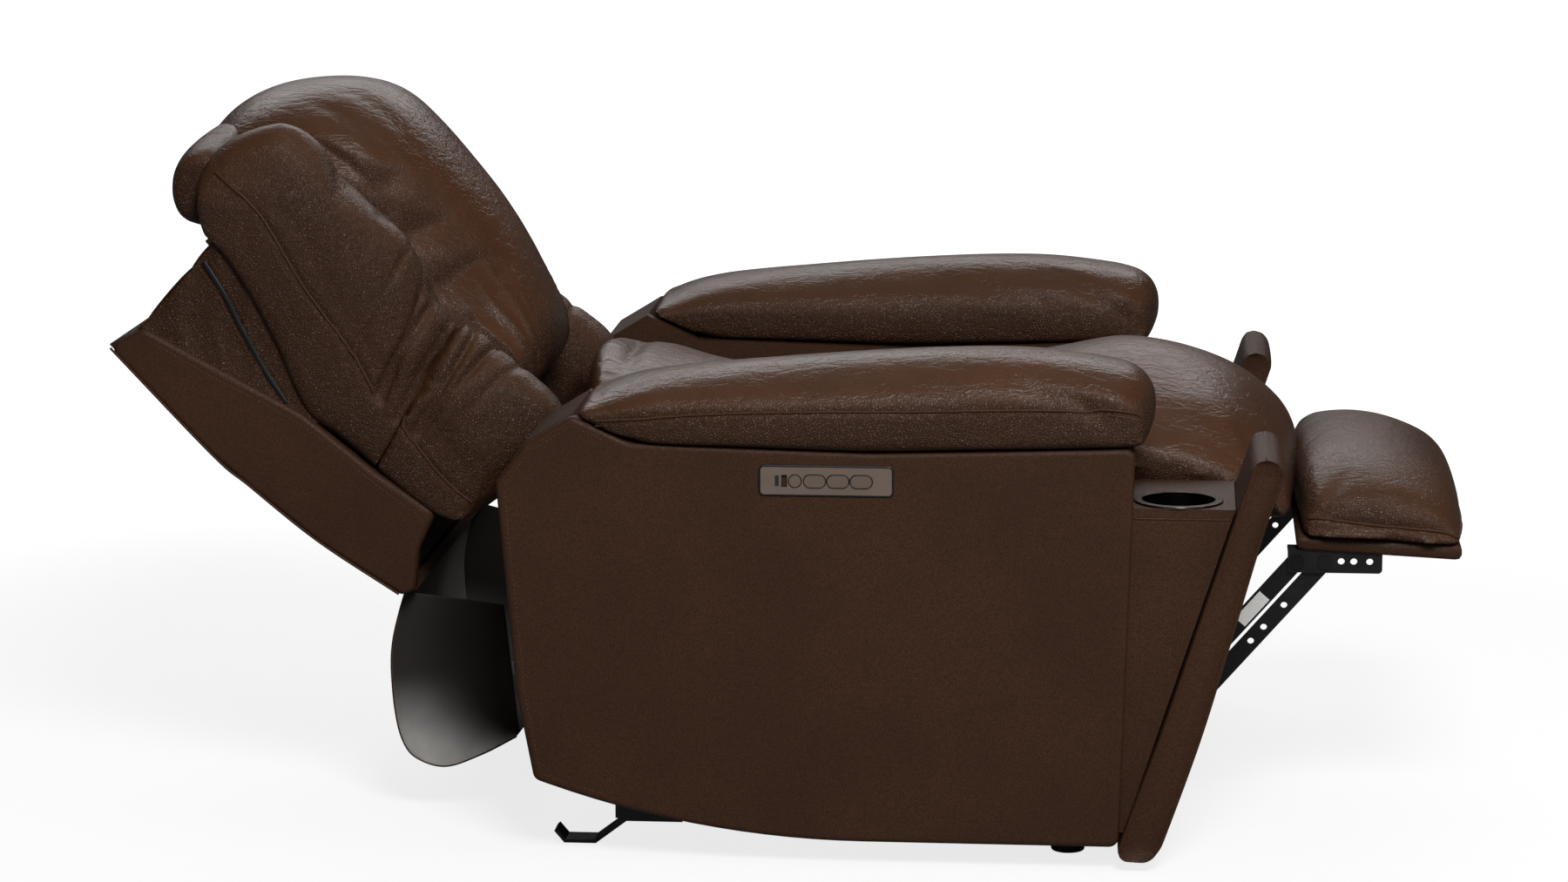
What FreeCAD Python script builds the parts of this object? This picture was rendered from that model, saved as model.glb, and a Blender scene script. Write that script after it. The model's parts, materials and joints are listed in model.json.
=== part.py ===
"""Power recliner armchair, reclined, with its footrest out.

Millimetres. +Z is up, the sitter faces -Y, and X = 0 is the plane of symmetry.
Stations along Y are counted from the front bottom corner of the side panels, and
save() moves everything so that the origin is under the middle of the whole chair.
"""
import FreeCAD, Part
import math
import os

# ---------------------------------------------------------------- driving dimensions
WIDTH = 1000.0              # across the outer faces of the side panels
ARM_WIDTH = 200.0           # outer face of a side panel to the seat side of its arm
ARM_REAR = 728.0            # front corner of the side panel to its rear edge
ARM_LOW = (289.0, 491.0)    # lowest point of the arm's top line
ARM_FRONT_TOP = (-13.0, 502.0)
PANEL_BOTTOM = 28.0         # gap under the side panels
BOARD = 18.0                # plywood
PAD_BULGE = 12.0            # the arm pad stands out beyond the side panel
PAD_TOP = 604.0             # where the two slopes of the pad's top would meet
PAD_FRONT = -20.0
SOFT_GAP = 0.3              # between a cushion and its neighbour
BACK_BEYOND_ARM = 30.0      # the back is wider than the seat, behind the arms
BOLSTER_SHARE = 112.0       # side bolster, from the seat side of the arm inwards
SEAT_TOP = 549.0
SEAT_FRONT = -203.0
SEAT_SIDE_GAP = 2.0         # seat cushion to arm
FOOT_SIDE_GAP = 25.0        # footrest cushion's side to the arm's inner face
DECK = 368.0                # top of the steel seat frame
TUBE = 30.0                 # side of a square frame tube
TUBE_WALL = 2.5
RAIL_TOP = 72.0             # base rails
RAIL = 40.0
RAIL_WALL = 3.0
UPRIGHT = 25.0              # side of the cross tubes, uprights and frame rails
PLATE = 5.0                 # mechanism plates and links
PLATE_PLAY = 1.0            # side play between neighbouring plates
ARM_TO_PLATE = 7.0          # inner face of the arm to the mechanism plate
POST_FOOT = 13.0            # front posts stop this far above the floor
POST_TOP = 490.0
CUP_BLOCK_TOP = 430.0
CUP_BLOCK_RECESS = 12.0     # from the side panel's face
CUP_RADIUS = 43.0           # inside of the cup holder
CUP_DEPTH = 66.0
CUP_WALL = 1.5
CUP_LIP = 7.5               # flange beyond the outside of the cup
CUP_FROM_SIDE = 62.0        # side panel's face to the cup's axis
CUP_Y = -65.0
FIT = 0.08                  # radial clearance of a pin in its bearing

# ---------------------------------------------------------------- mechanism
CRANK_PIVOT = (87.7, 247.0)
CRANK_PINS = ((-24.5, 76.0), (9.0, 76.0))
FOOT_PINS = ((-241.5, 325.0), (-208.0, 325.0))
LINK_WIDTH = 21.0
PIN_RADIUS = 5.0
OPEN_PIVOT_PLAY = 0.6       # at the pin where the linkage is left open
DRIVE_TUBE_RADIUS = 12.0
DRIVE_TUBE_FROM_PIVOT = (51.8, -34.0)
BACK_PIVOT_BEFORE_REAR = 13.0
BACK_PIVOT_Z = 500.0
BACK_PIN_RADIUS = 8.0
HEAD_PIVOT = (180.0, 165.0)  # from the back pivot
LUMBAR_TRAVEL = 30.0

# ---------------------------------------------------------------- places that follow
HALF = WIDTH / 2
ARM_IN = HALF - ARM_WIDTH
PLATE_IN = ARM_IN - ARM_TO_PLATE - PLATE
PIVOT = (ARM_REAR - BACK_PIVOT_BEFORE_REAR, BACK_PIVOT_Z)
ARM_MIDDLE = HALF - ARM_WIDTH / 2
SEAT_HALF = ARM_IN - SEAT_SIDE_GAP
BACK_HALF = ARM_IN + BACK_BEYOND_ARM
BACK_PLATE_IN = PLATE_IN - PLATE_PLAY - PLATE
FRAME_IN = PLATE_IN - UPRIGHT
LINK_PLANE = FRAME_IN - 2 * (PLATE + PLATE_PLAY)   # inner face of the footrest links
CRANK_IN = LINK_PLANE + PLATE + PLATE_PLAY         # crank plates and brackets
CRANK_OUT = CRANK_IN + PLATE
FOOT_HALF = ARM_IN - FOOT_SIDE_GAP
PILLOW_HALF = ARM_IN - BOLSTER_SHARE   # middle cushions of the back
HEAD_ARM_IN = PILLOW_HALF + 2.7   # arms of the headrest, then those of the back, in the slot
HEAD_ARM = 4.0                    # their thickness
BACK_ARM_IN = HEAD_ARM_IN + HEAD_ARM + 0.8
WING_IN = BACK_ARM_IN + HEAD_ARM + SOFT_GAP
SHELL_CORNER = (506.0, 79.0)  # from the back pivot
FOOT_FRONT = -415.0
Y_MIDDLE = (FOOT_FRONT + PIVOT[0] + SHELL_CORNER[0]) / 2
SIDES = (-1, 1)


# ---------------------------------------------------------------- shapes
def outline(corners, x):
    """Closed wire in the plane X = x through (y, z) or (y, z, radius) corners."""
    points = [FreeCAD.Vector(x, c[0], c[1]) for c in corners]
    radii = [c[2] if len(c) > 2 else 0.0 for c in corners]
    arcs, starts, ends = [], [], []
    for i, corner in enumerate(points):
        if radii[i] == 0:
            starts.append(corner)
            ends.append(corner)
            continue
        before = (points[i - 1] - corner).normalize()
        after = (points[(i + 1) % len(points)] - corner).normalize()
        half = before.getAngle(after) / 2
        reach = radii[i] / math.tan(half)
        start, end = corner + before * reach, corner + after * reach
        inward = (before + after).normalize()
        middle = corner + inward * (radii[i] / math.sin(half) - radii[i])
        arcs.append(Part.Arc(start, middle, end).toShape())
        starts.append(start)
        ends.append(end)
    edges = list(arcs)
    for i, start in enumerate(starts):
        if start.distanceToPoint(ends[i - 1]) > 1e-6:
            edges.append(Part.LineSegment(ends[i - 1], start).toShape())
    return Part.Wire(Part.__sortEdges__(edges))


def slab(corners, x0, x1):
    """Solid between X = x0 and X = x1 with the given outline."""
    low, high = min(x0, x1), max(x0, x1)
    return Part.Face(outline(corners, low)).extrude(FreeCAD.Vector(high - low, 0, 0))


def padded(crown, x0, x1, radius, base=()):
    """Slab with rounded rims along its crown, which runs between two sharp corners.

    The rest of the outline, through the base corners, keeps sharp rims.
    """
    body = slab([*crown, *base], x0, x1)
    flat = [crown[-1], *base, crown[0]]
    middles = [((a[0] + b[0]) / 2, (a[1] + b[1]) / 2) for a, b in zip(flat, flat[1:])]
    rim = []
    for edge in body.Edges:
        on_end = any(all(abs(v.X - x) < 1e-6 for v in edge.Vertexes) for x in (x0, x1))
        y, z = edge.CenterOfMass.y, edge.CenterOfMass.z
        if on_end and all(math.hypot(y - a, z - b) > 1e-3 for a, b in middles):
            rim.append(edge)
    return body.makeFillet(radius, rim)


def box(x0, x1, y0, y1, z0, z1):
    return Part.makeBox(x1 - x0, y1 - y0, z1 - z0, FreeCAD.Vector(x0, y0, z0))


def rod(x0, x1, place, radius):
    """Cylinder along X between x0 and x1, at (y, z)."""
    low, high = min(x0, x1), max(x0, x1)
    base = FreeCAD.Vector(low, place[0], place[1])
    return Part.makeCylinder(radius, high - low, base, FreeCAD.Vector(1, 0, 0))


def post(x, y, z0, z1, radius):
    """Upright cylinder."""
    return Part.makeCylinder(radius, z1 - z0, FreeCAD.Vector(x, y, z0))


def offset(path, distance):
    """The path moved to its left by a distance, with mitred bends."""
    moved = []
    for i, (y, z) in enumerate(path):
        a, b = path[max(i - 1, 0)], path[max(i, 1)]
        c, d = path[min(i, len(path) - 2)], path[min(i + 1, len(path) - 1)]
        normals = []
        for (y0, z0), (y1, z1) in ((a, b), (c, d)):
            length = math.hypot(y1 - y0, z1 - z0)
            normals.append(((z0 - z1) / length, (y1 - y0) / length))
        (p, q), (r, s) = normals
        scale = distance / (1 + p * r + q * s)
        moved.append((y + (p + r) * scale, z + (q + s) * scale))
    return moved


def strip(path, thickness):
    """Outline of a bent strip: the path, and the path moved to its left."""
    return list(path) + offset(path, thickness)[::-1]


def tube_y(x, y0, y1, z_top, side, wall):
    """Square tube along Y, centred on x, with its top at z_top."""
    outer = box(x - side / 2, x + side / 2, y0, y1, z_top - side, z_top)
    inner = box(x - side / 2 + wall, x + side / 2 - wall, y0 - 1, y1 + 1,
                z_top - side + wall, z_top - wall)
    return outer.cut(inner)


def mirrored(shape):
    return shape.mirror(FreeCAD.Vector(0, 0, 0), FreeCAD.Vector(1, 0, 0))


def pair(shape):
    """The shape and its mirror image on the other side."""
    return [shape, mirrored(shape)]


def back(*corners):
    """Corners given from the back pivot, in the chair's own stations."""
    return [(PIVOT[0] + c[0], PIVOT[1] + c[1]) + tuple(c[2:]) for c in corners]


def from_head(angle, distance, inset=(0.0, 0.0)):
    """Point at an angle and distance from the headrest pivot, as a back() corner."""
    a = math.radians(angle)
    return (HEAD_PIVOT[0] + distance * math.cos(a) + inset[0],
            HEAD_PIVOT[1] + distance * math.sin(a) + inset[1])


def save(name, *solids):
    shapes = []
    for solid in solids:
        for one in solid if isinstance(solid, list) else [solid]:
            moved = one.copy()
            moved.translate(FreeCAD.Vector(0, -Y_MIDDLE, 0))
            shapes.extend(moved.Solids)
    shape = shapes[0] if len(shapes) == 1 else Part.makeCompound(shapes)
    assert all(s.isValid() for s in shapes), name
    shape.exportStep(f"parts/{name}.step")


# ---------------------------------------------------------------- arms
ARM_TOP_LINE = [ARM_FRONT_TOP, ARM_LOW, (ARM_REAR - 158, 499.0), (ARM_REAR - 90, 531.0)]
ARM_REAR_LINE = [(ARM_REAR - 42, 97.0), (ARM_REAR - 23, 197.0), (ARM_REAR, 450.0),
                 (ARM_REAR - 34, 497.0), (ARM_REAR - 90, 531.0)]


def front_edge(z):
    """Y of the panels' front edge at a height."""
    y1, z1 = ARM_FRONT_TOP
    return y1 * (z - PANEL_BOTTOM) / (z1 - PANEL_BOTTOM)


def post_edge(z):
    """Y of the front post's rear face at a height."""
    return 4.0 - 154.0 * (z - POST_FOOT) / (POST_TOP - POST_FOOT)


def side_panel():
    curve = (ARM_REAR - 241, PANEL_BOTTOM + 0.5, 1165.0)
    corners = [(0, PANEL_BOTTOM, 4), curve, (*ARM_REAR_LINE[0], 8), (*ARM_REAR_LINE[1], 60),
               (*ARM_REAR_LINE[2], 8), (*ARM_REAR_LINE[3], 8), (*ARM_REAR_LINE[4], 3),
               ARM_TOP_LINE[2], ARM_LOW, (*ARM_FRONT_TOP, 3)]
    return slab(corners, HALF - BOARD, HALF)


def inner_panel():
    bottom = RAIL_TOP + BOARD
    corners = [(front_edge(bottom), bottom), (ARM_REAR_LINE[0][0], 97.0), *ARM_REAR_LINE[1:],
               *ARM_TOP_LINE[2:0:-1], ARM_FRONT_TOP]
    return slab(corners, ARM_IN, ARM_IN + BOARD)


def arm_boards():
    """Top, bottom, front and rear boards between an arm's two panels."""
    x0, x1 = ARM_IN + BOARD, HALF - BOARD
    top = slab(strip(ARM_TOP_LINE[:3][::-1], BOARD), x0, x1)
    bottom = slab([(20, RAIL_TOP), (ARM_REAR - 130, RAIL_TOP),
                   (ARM_REAR - 130, RAIL_TOP + BOARD), (20, RAIL_TOP + BOARD)], x0, x1)
    low, high = RAIL_TOP + 2 * BOARD, ARM_FRONT_TOP[1] - BOARD - 2
    front = slab(strip([(front_edge(high), high), (front_edge(low), low)], BOARD), x0, x1)
    rear = slab(strip(ARM_REAR_LINE, BOARD), x0, x1)
    return [top, bottom, front, rear]


def arm_pad():
    lift = SOFT_GAP
    rear, low = ARM_TOP_LINE[3], ARM_TOP_LINE[2]
    crown = [(PAD_FRONT, ARM_FRONT_TOP[1] + lift), (PAD_FRONT, PAD_TOP - 38, 30),
             (143, PAD_TOP, 500), (ARM_REAR - 227, PAD_TOP - 29, 300),
             (rear[0] - 6, rear[1] + 22, 14), (rear[0], rear[1] + lift)]
    base = [(low[0], low[1] + 2 * lift), (ARM_LOW[0], ARM_LOW[1] + lift)]
    return padded(crown, ARM_IN + 2, HALF + PAD_BULGE, 12, base)


def front_post():
    crown = [(-48, POST_FOOT), (-130, 268, 900), (-187, POST_TOP - 12, 16),
             (-150, POST_TOP, 16), (4, POST_FOOT)]
    return padded(crown, ARM_IN, HALF, 8)


def cup_axis():
    return HALF - CUP_FROM_SIDE, CUP_Y


def cup_block():
    x, y = cup_axis()
    low = 45.0
    corners = [(front_edge(low), low), (front_edge(CUP_BLOCK_TOP), CUP_BLOCK_TOP),
               (post_edge(CUP_BLOCK_TOP), CUP_BLOCK_TOP), (post_edge(low), low)]
    block = slab(corners, ARM_IN, HALF - CUP_BLOCK_RECESS)
    bore = post(x, y, CUP_BLOCK_TOP - CUP_DEPTH - 1, CUP_BLOCK_TOP + 1, CUP_RADIUS + CUP_WALL)
    return block.cut(bore)


def cup_holder():
    x, y = cup_axis()
    top, flange = CUP_BLOCK_TOP + 2.5, 2.5
    shell = post(x, y, CUP_BLOCK_TOP - CUP_DEPTH, top, CUP_RADIUS + CUP_WALL)
    rim = post(x, y, CUP_BLOCK_TOP, CUP_BLOCK_TOP + flange, CUP_RADIUS + CUP_WALL + CUP_LIP)
    rim = rim.makeFillet(1.2, [e for e in rim.Edges if abs(e.CenterOfMass.z - top) < 1e-6])
    inside = post(x, y, CUP_BLOCK_TOP - CUP_DEPTH + CUP_WALL, top + 1, CUP_RADIUS)
    return shell.fuse(rim).cut(inside).removeSplitter()


# ---------------------------------------------------------------- base and seat
def base_rail():
    return tube_y(ARM_MIDDLE, 20, ARM_REAR - 130, RAIL_TOP, RAIL, RAIL_WALL)


UPRIGHTS_Y = (300.0, ARM_REAR - 155)
CROSS_TOP = 65.0


def cross_tube(y):
    half = ARM_MIDDLE - RAIL / 2
    outer = box(-half, half, y, y + UPRIGHT, CROSS_TOP - UPRIGHT, CROSS_TOP)
    wall = TUBE_WALL
    return outer.cut(box(-half - 1, half + 1, y + wall, y + UPRIGHT - wall,
                         CROSS_TOP - UPRIGHT + wall, CROSS_TOP - wall))


def upright(y):
    return box(FRAME_IN, PLATE_IN, y, y + UPRIGHT, CROSS_TOP, DECK - TUBE)


def rear_leg():
    floor = [(-56, 14), (-68, 0), (-106, 0), (-143, 28), (-210, 28)]
    path = [(ARM_REAR + y, z) for y, z in floor]
    return slab(strip(path[::-1], 4.0), ARM_MIDDLE - 18, ARM_MIDDLE + 18)


def glide():
    foot = post(ARM_MIDDLE, 60, 0, RAIL_TOP - RAIL, 20)
    return foot.makeFillet(3, [e for e in foot.Edges if e.CenterOfMass.z < 1e-6])


def mechanism_plate():
    y, z = PIVOT
    corners = [(52, 222, 20), (ARM_REAR - 110, 222, 30), (y + 22, 380, 30), (y + 22, z + 22, 21),
               (y - 22, z + 22, 21), (y - 22, 345, 20), (52, 345, 15)]
    plate = slab(corners, PLATE_IN, PLATE_IN + PLATE)
    for place, radius in ((CRANK_PIVOT, 2 * PIN_RADIUS), (PIVOT, BACK_PIN_RADIUS)):
        plate = plate.cut(rod(PLATE_IN - 1, PLATE_IN + PLATE + 1, place, radius))
    return plate


def seat_frame():
    x = FRAME_IN
    bottom, front, rear = DECK - TUBE, -150.0, ARM_REAR - 70
    frame = box(x, PLATE_IN, front, rear, bottom, DECK)
    frame = frame.fuse(mirrored(frame))
    for y in (front, rear - UPRIGHT):
        frame = frame.fuse(box(-x, x, y, y + UPRIGHT, bottom, DECK))
    return frame.removeSplitter()


SPRING_WIRE = 2.0
SPRING_TOP = DECK + 2 * SPRING_WIRE
SPRING_COUNT = 5
OUTER_SPRING = FRAME_IN - 63     # its middle


def seat_spring(x):
    """Sinuous spring: cross runs joined by half turns, from front rail to rear rail."""
    start, end, reach, turns = -140.0, ARM_REAR - 80, 18.0, 22
    pitch = (end - start) / turns
    z = DECK + SPRING_WIRE
    edges = []
    for i in range(turns):
        side = 1 if i % 2 == 0 else -1
        y = start + i * pitch
        edges.append(Part.LineSegment(FreeCAD.Vector(x - side * reach, y, z),
                                      FreeCAD.Vector(x + side * reach, y, z)).toShape())
        edges.append(Part.Arc(FreeCAD.Vector(x + side * reach, y, z),
                              FreeCAD.Vector(x + side * (reach + pitch / 2), y + pitch / 2, z),
                              FreeCAD.Vector(x + side * reach, y + pitch, z)).toShape())
    section = Part.Wire(Part.makeCircle(SPRING_WIRE, FreeCAD.Vector(x - reach, start, z),
                                        FreeCAD.Vector(1, 0, 0)))
    return Part.Wire(edges).makePipeShell([section], True, False)


def seat_cushion():
    bottom, front, rear = SPRING_TOP + SOFT_GAP, SEAT_FRONT, PIVOT[0] - 39
    crown = [(front, bottom), (front, bottom + 80, 40), (-130, SEAT_TOP - 25, 60),
             (-40, SEAT_TOP, 120), (rear, SEAT_TOP, 26), (rear, bottom)]
    return padded(crown, -SEAT_HALF, SEAT_HALF, 24)


# ---------------------------------------------------------------- controls
CONTROL_REAR = 417.0        # rear end of the control plate
CONTROL = (152.0, 32.0, 2.5)
CONTROL_Z = 459.0
HOME_FROM_REAR, HOME_RADIUS = 40.0, 6.8
ROCKERS = {"lumbar_button": 62.8, "headrest_button": 89.8, "recline_button": 116.8}
ROCKER = (24.5, 14.0)
BUTTON_GAP = 0.6
USB_FROM_REAR, USB = 27.5, (5.2, 12.5)
LIGHT_FROM_REAR, LIGHT = 19.0, (3.2, 11.0)
BOX_DEPTH = 26.0


def stadium(length, height, x0, x1, y):
    """Slab with round ends, long along Y."""
    r = height / 2 - 1e-3
    low, high = CONTROL_Z - height / 2, CONTROL_Z + height / 2
    front, rear = y - length / 2, y + length / 2
    return slab([(front, low, r), (rear, low, r), (rear, high, r), (front, high, r)], x0, x1)


def control_openings(x0, x1, extra=0.0):
    """Everything that passes through the control plate, as solids between x0 and x1."""
    gap = BUTTON_GAP + extra
    cuts = [rod(x0, x1, (CONTROL_REAR - HOME_FROM_REAR, CONTROL_Z), HOME_RADIUS + gap)]
    for from_rear in ROCKERS.values():
        cuts.append(stadium(ROCKER[0] + 2 * gap, ROCKER[1] + 2 * gap, x0, x1,
                            CONTROL_REAR - from_rear))
    for from_rear, (wide, high) in ((USB_FROM_REAR, USB), (LIGHT_FROM_REAR, LIGHT)):
        y = CONTROL_REAR - from_rear
        cuts.append(box(x0, x1, y - wide / 2 - 0.8 - extra, y + wide / 2 + 0.8 + extra,
                        CONTROL_Z - high / 2 - 0.8 - extra, CONTROL_Z + high / 2 + 0.8 + extra))
    return cuts


def control_plate():
    length, height, thick = CONTROL
    y0, y1 = CONTROL_REAR - length, CONTROL_REAR
    z0, z1 = CONTROL_Z - height / 2, CONTROL_Z + height / 2
    plate = slab([(y0, z0, 4), (y1, z0, 4), (y1, z1, 4), (y0, z1, 4)], -HALF - thick, -HALF)
    return plate.cut(Part.makeCompound(control_openings(-HALF - thick - 1, -HALF + 1)))


def control_cavity(grow=0.0):
    length, height, _ = CONTROL
    y0, y1 = CONTROL_REAR - length + 9 - grow, CONTROL_REAR - 9 + grow
    z0, z1 = CONTROL_Z - height / 2 + 5 - grow, CONTROL_Z + height / 2 - 5 + grow
    return y0, y1, z0, z1


def control_box():
    y0, y1, z0, z1 = control_cavity()
    outer = box(-HALF, -HALF + BOX_DEPTH, y0, y1, z0, z1)
    return outer.cut(Part.makeCompound(control_openings(-HALF - 1, -HALF + BOX_DEPTH - 3, 0.8)))


def usb_port():
    y = CONTROL_REAR - USB_FROM_REAR
    wide, high = USB
    outer = box(-HALF - CONTROL[2], -HALF + 14, y - wide / 2 - 0.8, y + wide / 2 + 0.8,
                CONTROL_Z - high / 2 - 0.8, CONTROL_Z + high / 2 + 0.8)
    return outer.cut(box(-HALF - CONTROL[2] - 1, -HALF + 12, y - wide / 2, y + wide / 2,
                         CONTROL_Z - high / 2, CONTROL_Z + high / 2))


def indicator_light():
    y = CONTROL_REAR - LIGHT_FROM_REAR
    wide, high = LIGHT
    return box(-HALF - CONTROL[2], -HALF + 4, y - wide / 2 - 0.8, y + wide / 2 + 0.8,
               CONTROL_Z - high / 2 - 0.8, CONTROL_Z + high / 2 + 0.8)


def home_button():
    face = -HALF - CONTROL[2] - 2
    return rod(face, face + 14, (CONTROL_REAR - HOME_FROM_REAR, CONTROL_Z), HOME_RADIUS)


def rocker(name):
    face = -HALF - CONTROL[2] - 2
    return stadium(*ROCKER, face, face + 12, CONTROL_REAR - ROCKERS[name])


# ---------------------------------------------------------------- actuators
TRACK_Z = 285.0
TRACK = (24.0, 14.0)
MOTOR = (70.0, 110.0, 76.0)
SLIDE_BLOCK = (44.0, 40.0, 34.0)
ACTUATORS = {"footrest": (0.0, 178.0, 250.0), "back": (110.0, 200.0, 235.0)}


def track(name):
    x, y, length = ACTUATORS[name]
    return box(x - TRACK[0] / 2, x + TRACK[0] / 2, y, y + length,
               TRACK_Z - TRACK[1] / 2, TRACK_Z + TRACK[1] / 2)


def motor(name):
    """Housing behind its track, hung from the seat frame's rear rail by a tongue."""
    x, y, length = ACTUATORS[name]
    y0 = y + length
    housing = box(x - MOTOR[0] / 2, x + MOTOR[0] / 2, y0, y0 + MOTOR[1],
                  TRACK_Z - MOTOR[2] / 2 - 8, TRACK_Z + MOTOR[2] / 2 - 8)
    housing = housing.makeFillet(8, [e for e in housing.Edges if e.Length > MOTOR[1] - 1])
    tongue = slab([(y0 + MOTOR[1] - 20, TRACK_Z - 12), (ARM_REAR - 74, DECK - TUBE - 20),
                   (ARM_REAR - 74, DECK - TUBE), (ARM_REAR - 94, DECK - TUBE),
                   (y0 + MOTOR[1] - 20, TRACK_Z + 12)], x - 6, x + 6)
    return housing.fuse(tongue)


def slide_block(name):
    x, y, length = ACTUATORS[name]
    wide, long, high = SLIDE_BLOCK
    y0 = y + 12
    block = box(x - wide / 2, x + wide / 2, y0, y0 + long, TRACK_Z - high / 2, TRACK_Z + high / 2)
    play = 0.3
    return block.cut(box(x - TRACK[0] / 2 - play, x + TRACK[0] / 2 + play, y0 - 1, y0 + long + 1,
                         TRACK_Z - TRACK[1] / 2 - play, TRACK_Z + TRACK[1] / 2 + play))


def power_inlet():
    """Low-voltage socket on the rear rail, its mouth facing the rear."""
    y, z = ARM_REAR - 70, DECK - TUBE / 2
    x, wide, high, deep = -120, 7, 5, 12
    body = box(x - wide / 2 - 2, x + wide / 2 + 2, y, y + deep + 3, z - high / 2 - 2, z + high / 2 + 2)
    return body.cut(box(x - wide / 2, x + wide / 2, y + 3, y + deep + 4, z - high / 2, z + high / 2))


# ---------------------------------------------------------------- footrest
def bar(ends, width, x0, x1):
    """Flat link with round ends through two (y, z) points."""
    (y0, z0), (y1, z1) = ends
    length, r = math.hypot(y1 - y0, z1 - z0), width / 2
    n = ((z0 - z1) / length * r, (y1 - y0) / length * r)
    middle = slab([(y0 + n[0], z0 + n[1]), (y1 + n[0], z1 + n[1]),
                   (y1 - n[0], z1 - n[1]), (y0 - n[0], z0 - n[1])], x0, x1)
    return middle.fuse([rod(x0, x1, end, r) for end in ends]).removeSplitter()


def drill(shape, places, radius):
    """Holes along X through the shape."""
    for place in places:
        shape = shape.cut(rod(0, HALF, place, radius))
    return shape


def link(index, play):
    """Footrest link from the crank to the footrest bracket."""
    ends = (CRANK_PINS[index], FOOT_PINS[index])
    shape = bar(ends, LINK_WIDTH, LINK_PLANE, LINK_PLANE + PLATE)
    shape = drill(shape, ends[:1], PIN_RADIUS + FIT)
    shape = drill(shape, ends[1:], PIN_RADIUS + play)
    if index == 0:
        (y0, z0), (y1, z1) = ends
        holes = [(y0 + (y1 - y0) * t, z0 + (z1 - z0) * t) for t in (0.60, 0.67, 0.78)]
        shape = drill(shape, holes, 4)
    return shape


def crank():
    """Crank plates joined by the drive tube, as one welded piece."""
    x0, x1 = CRANK_IN, CRANK_OUT
    y, z = CRANK_PIVOT
    tube_at = (y + DRIVE_TUBE_FROM_PIVOT[0], z + DRIVE_TUBE_FROM_PIVOT[1])
    plate = bar((CRANK_PIVOT, CRANK_PINS[0]), 30, x0, x1)
    plate = plate.fuse([bar(CRANK_PINS, 30, x0, x1), bar((CRANK_PIVOT, tube_at), 34, x0, x1),
                        rod(x0, x1 + 9, CRANK_PIVOT, 18)])
    plate = drill(plate, [CRANK_PIVOT], 2 * PIN_RADIUS + FIT)
    plate = drill(plate, CRANK_PINS, PIN_RADIUS)
    tube = rod(-x0, x0, tube_at, DRIVE_TUBE_RADIUS)
    tube = tube.cut(rod(-x0 - 1, x0 + 1, tube_at, DRIVE_TUBE_RADIUS - TUBE_WALL))
    return tube.fuse([plate, mirrored(plate)]).removeSplitter()


def pin(place, x0, x1, radius, head=0.0):
    """Pin along X, with a round head on its outer end."""
    shape = rod(x0, x1, place, radius)
    return shape.fuse(rod(x1, x1 + 2.5, place, head)) if head else shape


def crank_rivets():
    return [s for place in CRANK_PINS
            for s in pair(pin(place, LINK_PLANE, CRANK_OUT, PIN_RADIUS, 8))]


def bracket():
    """Angle bracket under one side of the footrest board."""
    x0, x1 = CRANK_IN, CRANK_OUT
    top, bottom, front, rear = 340.0, 312.0, -310.0, -197.0
    web = slab([(rear, bottom, 4), (rear, top), (front, top), (front, bottom, 5)], x0, x1)
    web = drill(web, [(-261, 326), (-276, 326), (-295, 326)], 4.2)
    web = drill(web, FOOT_PINS, PIN_RADIUS)
    return web.fuse(box(x0 - 27, x0, front, rear, top - 3.5, top))


def foot_rivets():
    return [s for place in FOOT_PINS
            for s in pair(pin(place, LINK_PLANE, CRANK_OUT, PIN_RADIUS, 9))]


def footrest_board():
    return box(-FOOT_HALF + 11, FOOT_HALF - 11, -402, -206, 340, 354)


def footrest_cushion():
    bottom = 354 + SOFT_GAP
    front = FOOT_FRONT
    crown = [(-213, bottom), (-212, 441, 26), (-271, 452, 80), (-381, 427, 70),
             (front, 402, 30), (front, bottom)]
    return padded(crown, -FOOT_HALF, FOOT_HALF, 20)


def blank_label():
    """Plain sticker on the outer face of the right upper link."""
    (y0, z0), (y1, z1) = CRANK_PINS[1], FOOT_PINS[1]
    length = math.hypot(y1 - y0, z1 - z0)
    u = ((y1 - y0) / length, (z1 - z0) / length)
    middle = (y0 + u[0] * 0.76 * length, z0 + u[1] * 0.76 * length)
    n = (-u[1] * 8, u[0] * 8)
    corners = [(middle[0] + s * u[0] * 22 + t * n[0], middle[1] + s * u[1] * 22 + t * n[1])
               for s, t in ((-1, -1), (1, -1), (1, 1), (-1, 1))]
    x = LINK_PLANE + PLATE
    return slab(corners, -x, -x - 0.3)


# ---------------------------------------------------------------- back
SHELL_REAR = [(153, -222), (253, -157), (335, -91), (379, -54), SHELL_CORNER]
SHELL_FRONT = [(459, 103), (269, 0), (181, -70), (108, -120), (130, -164), (136, -217)]
SHELL_BOARD = 14.0
HEAD_BOARD = [(294, 75), (337, 140), (389, 204)]
HEAD_BOARD_THICK = 12.0


def shell_side():
    return slab(back(*SHELL_REAR, *SHELL_FRONT), BACK_HALF - BOARD, BACK_HALF)


def shell_rear():
    """Rear skin, with the closing strip along the top."""
    half = BACK_HALF - BOARD
    path = back((136, -217), *SHELL_REAR, SHELL_FRONT[0])
    return slab(strip(path, SHELL_BOARD), -half, half)


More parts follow.
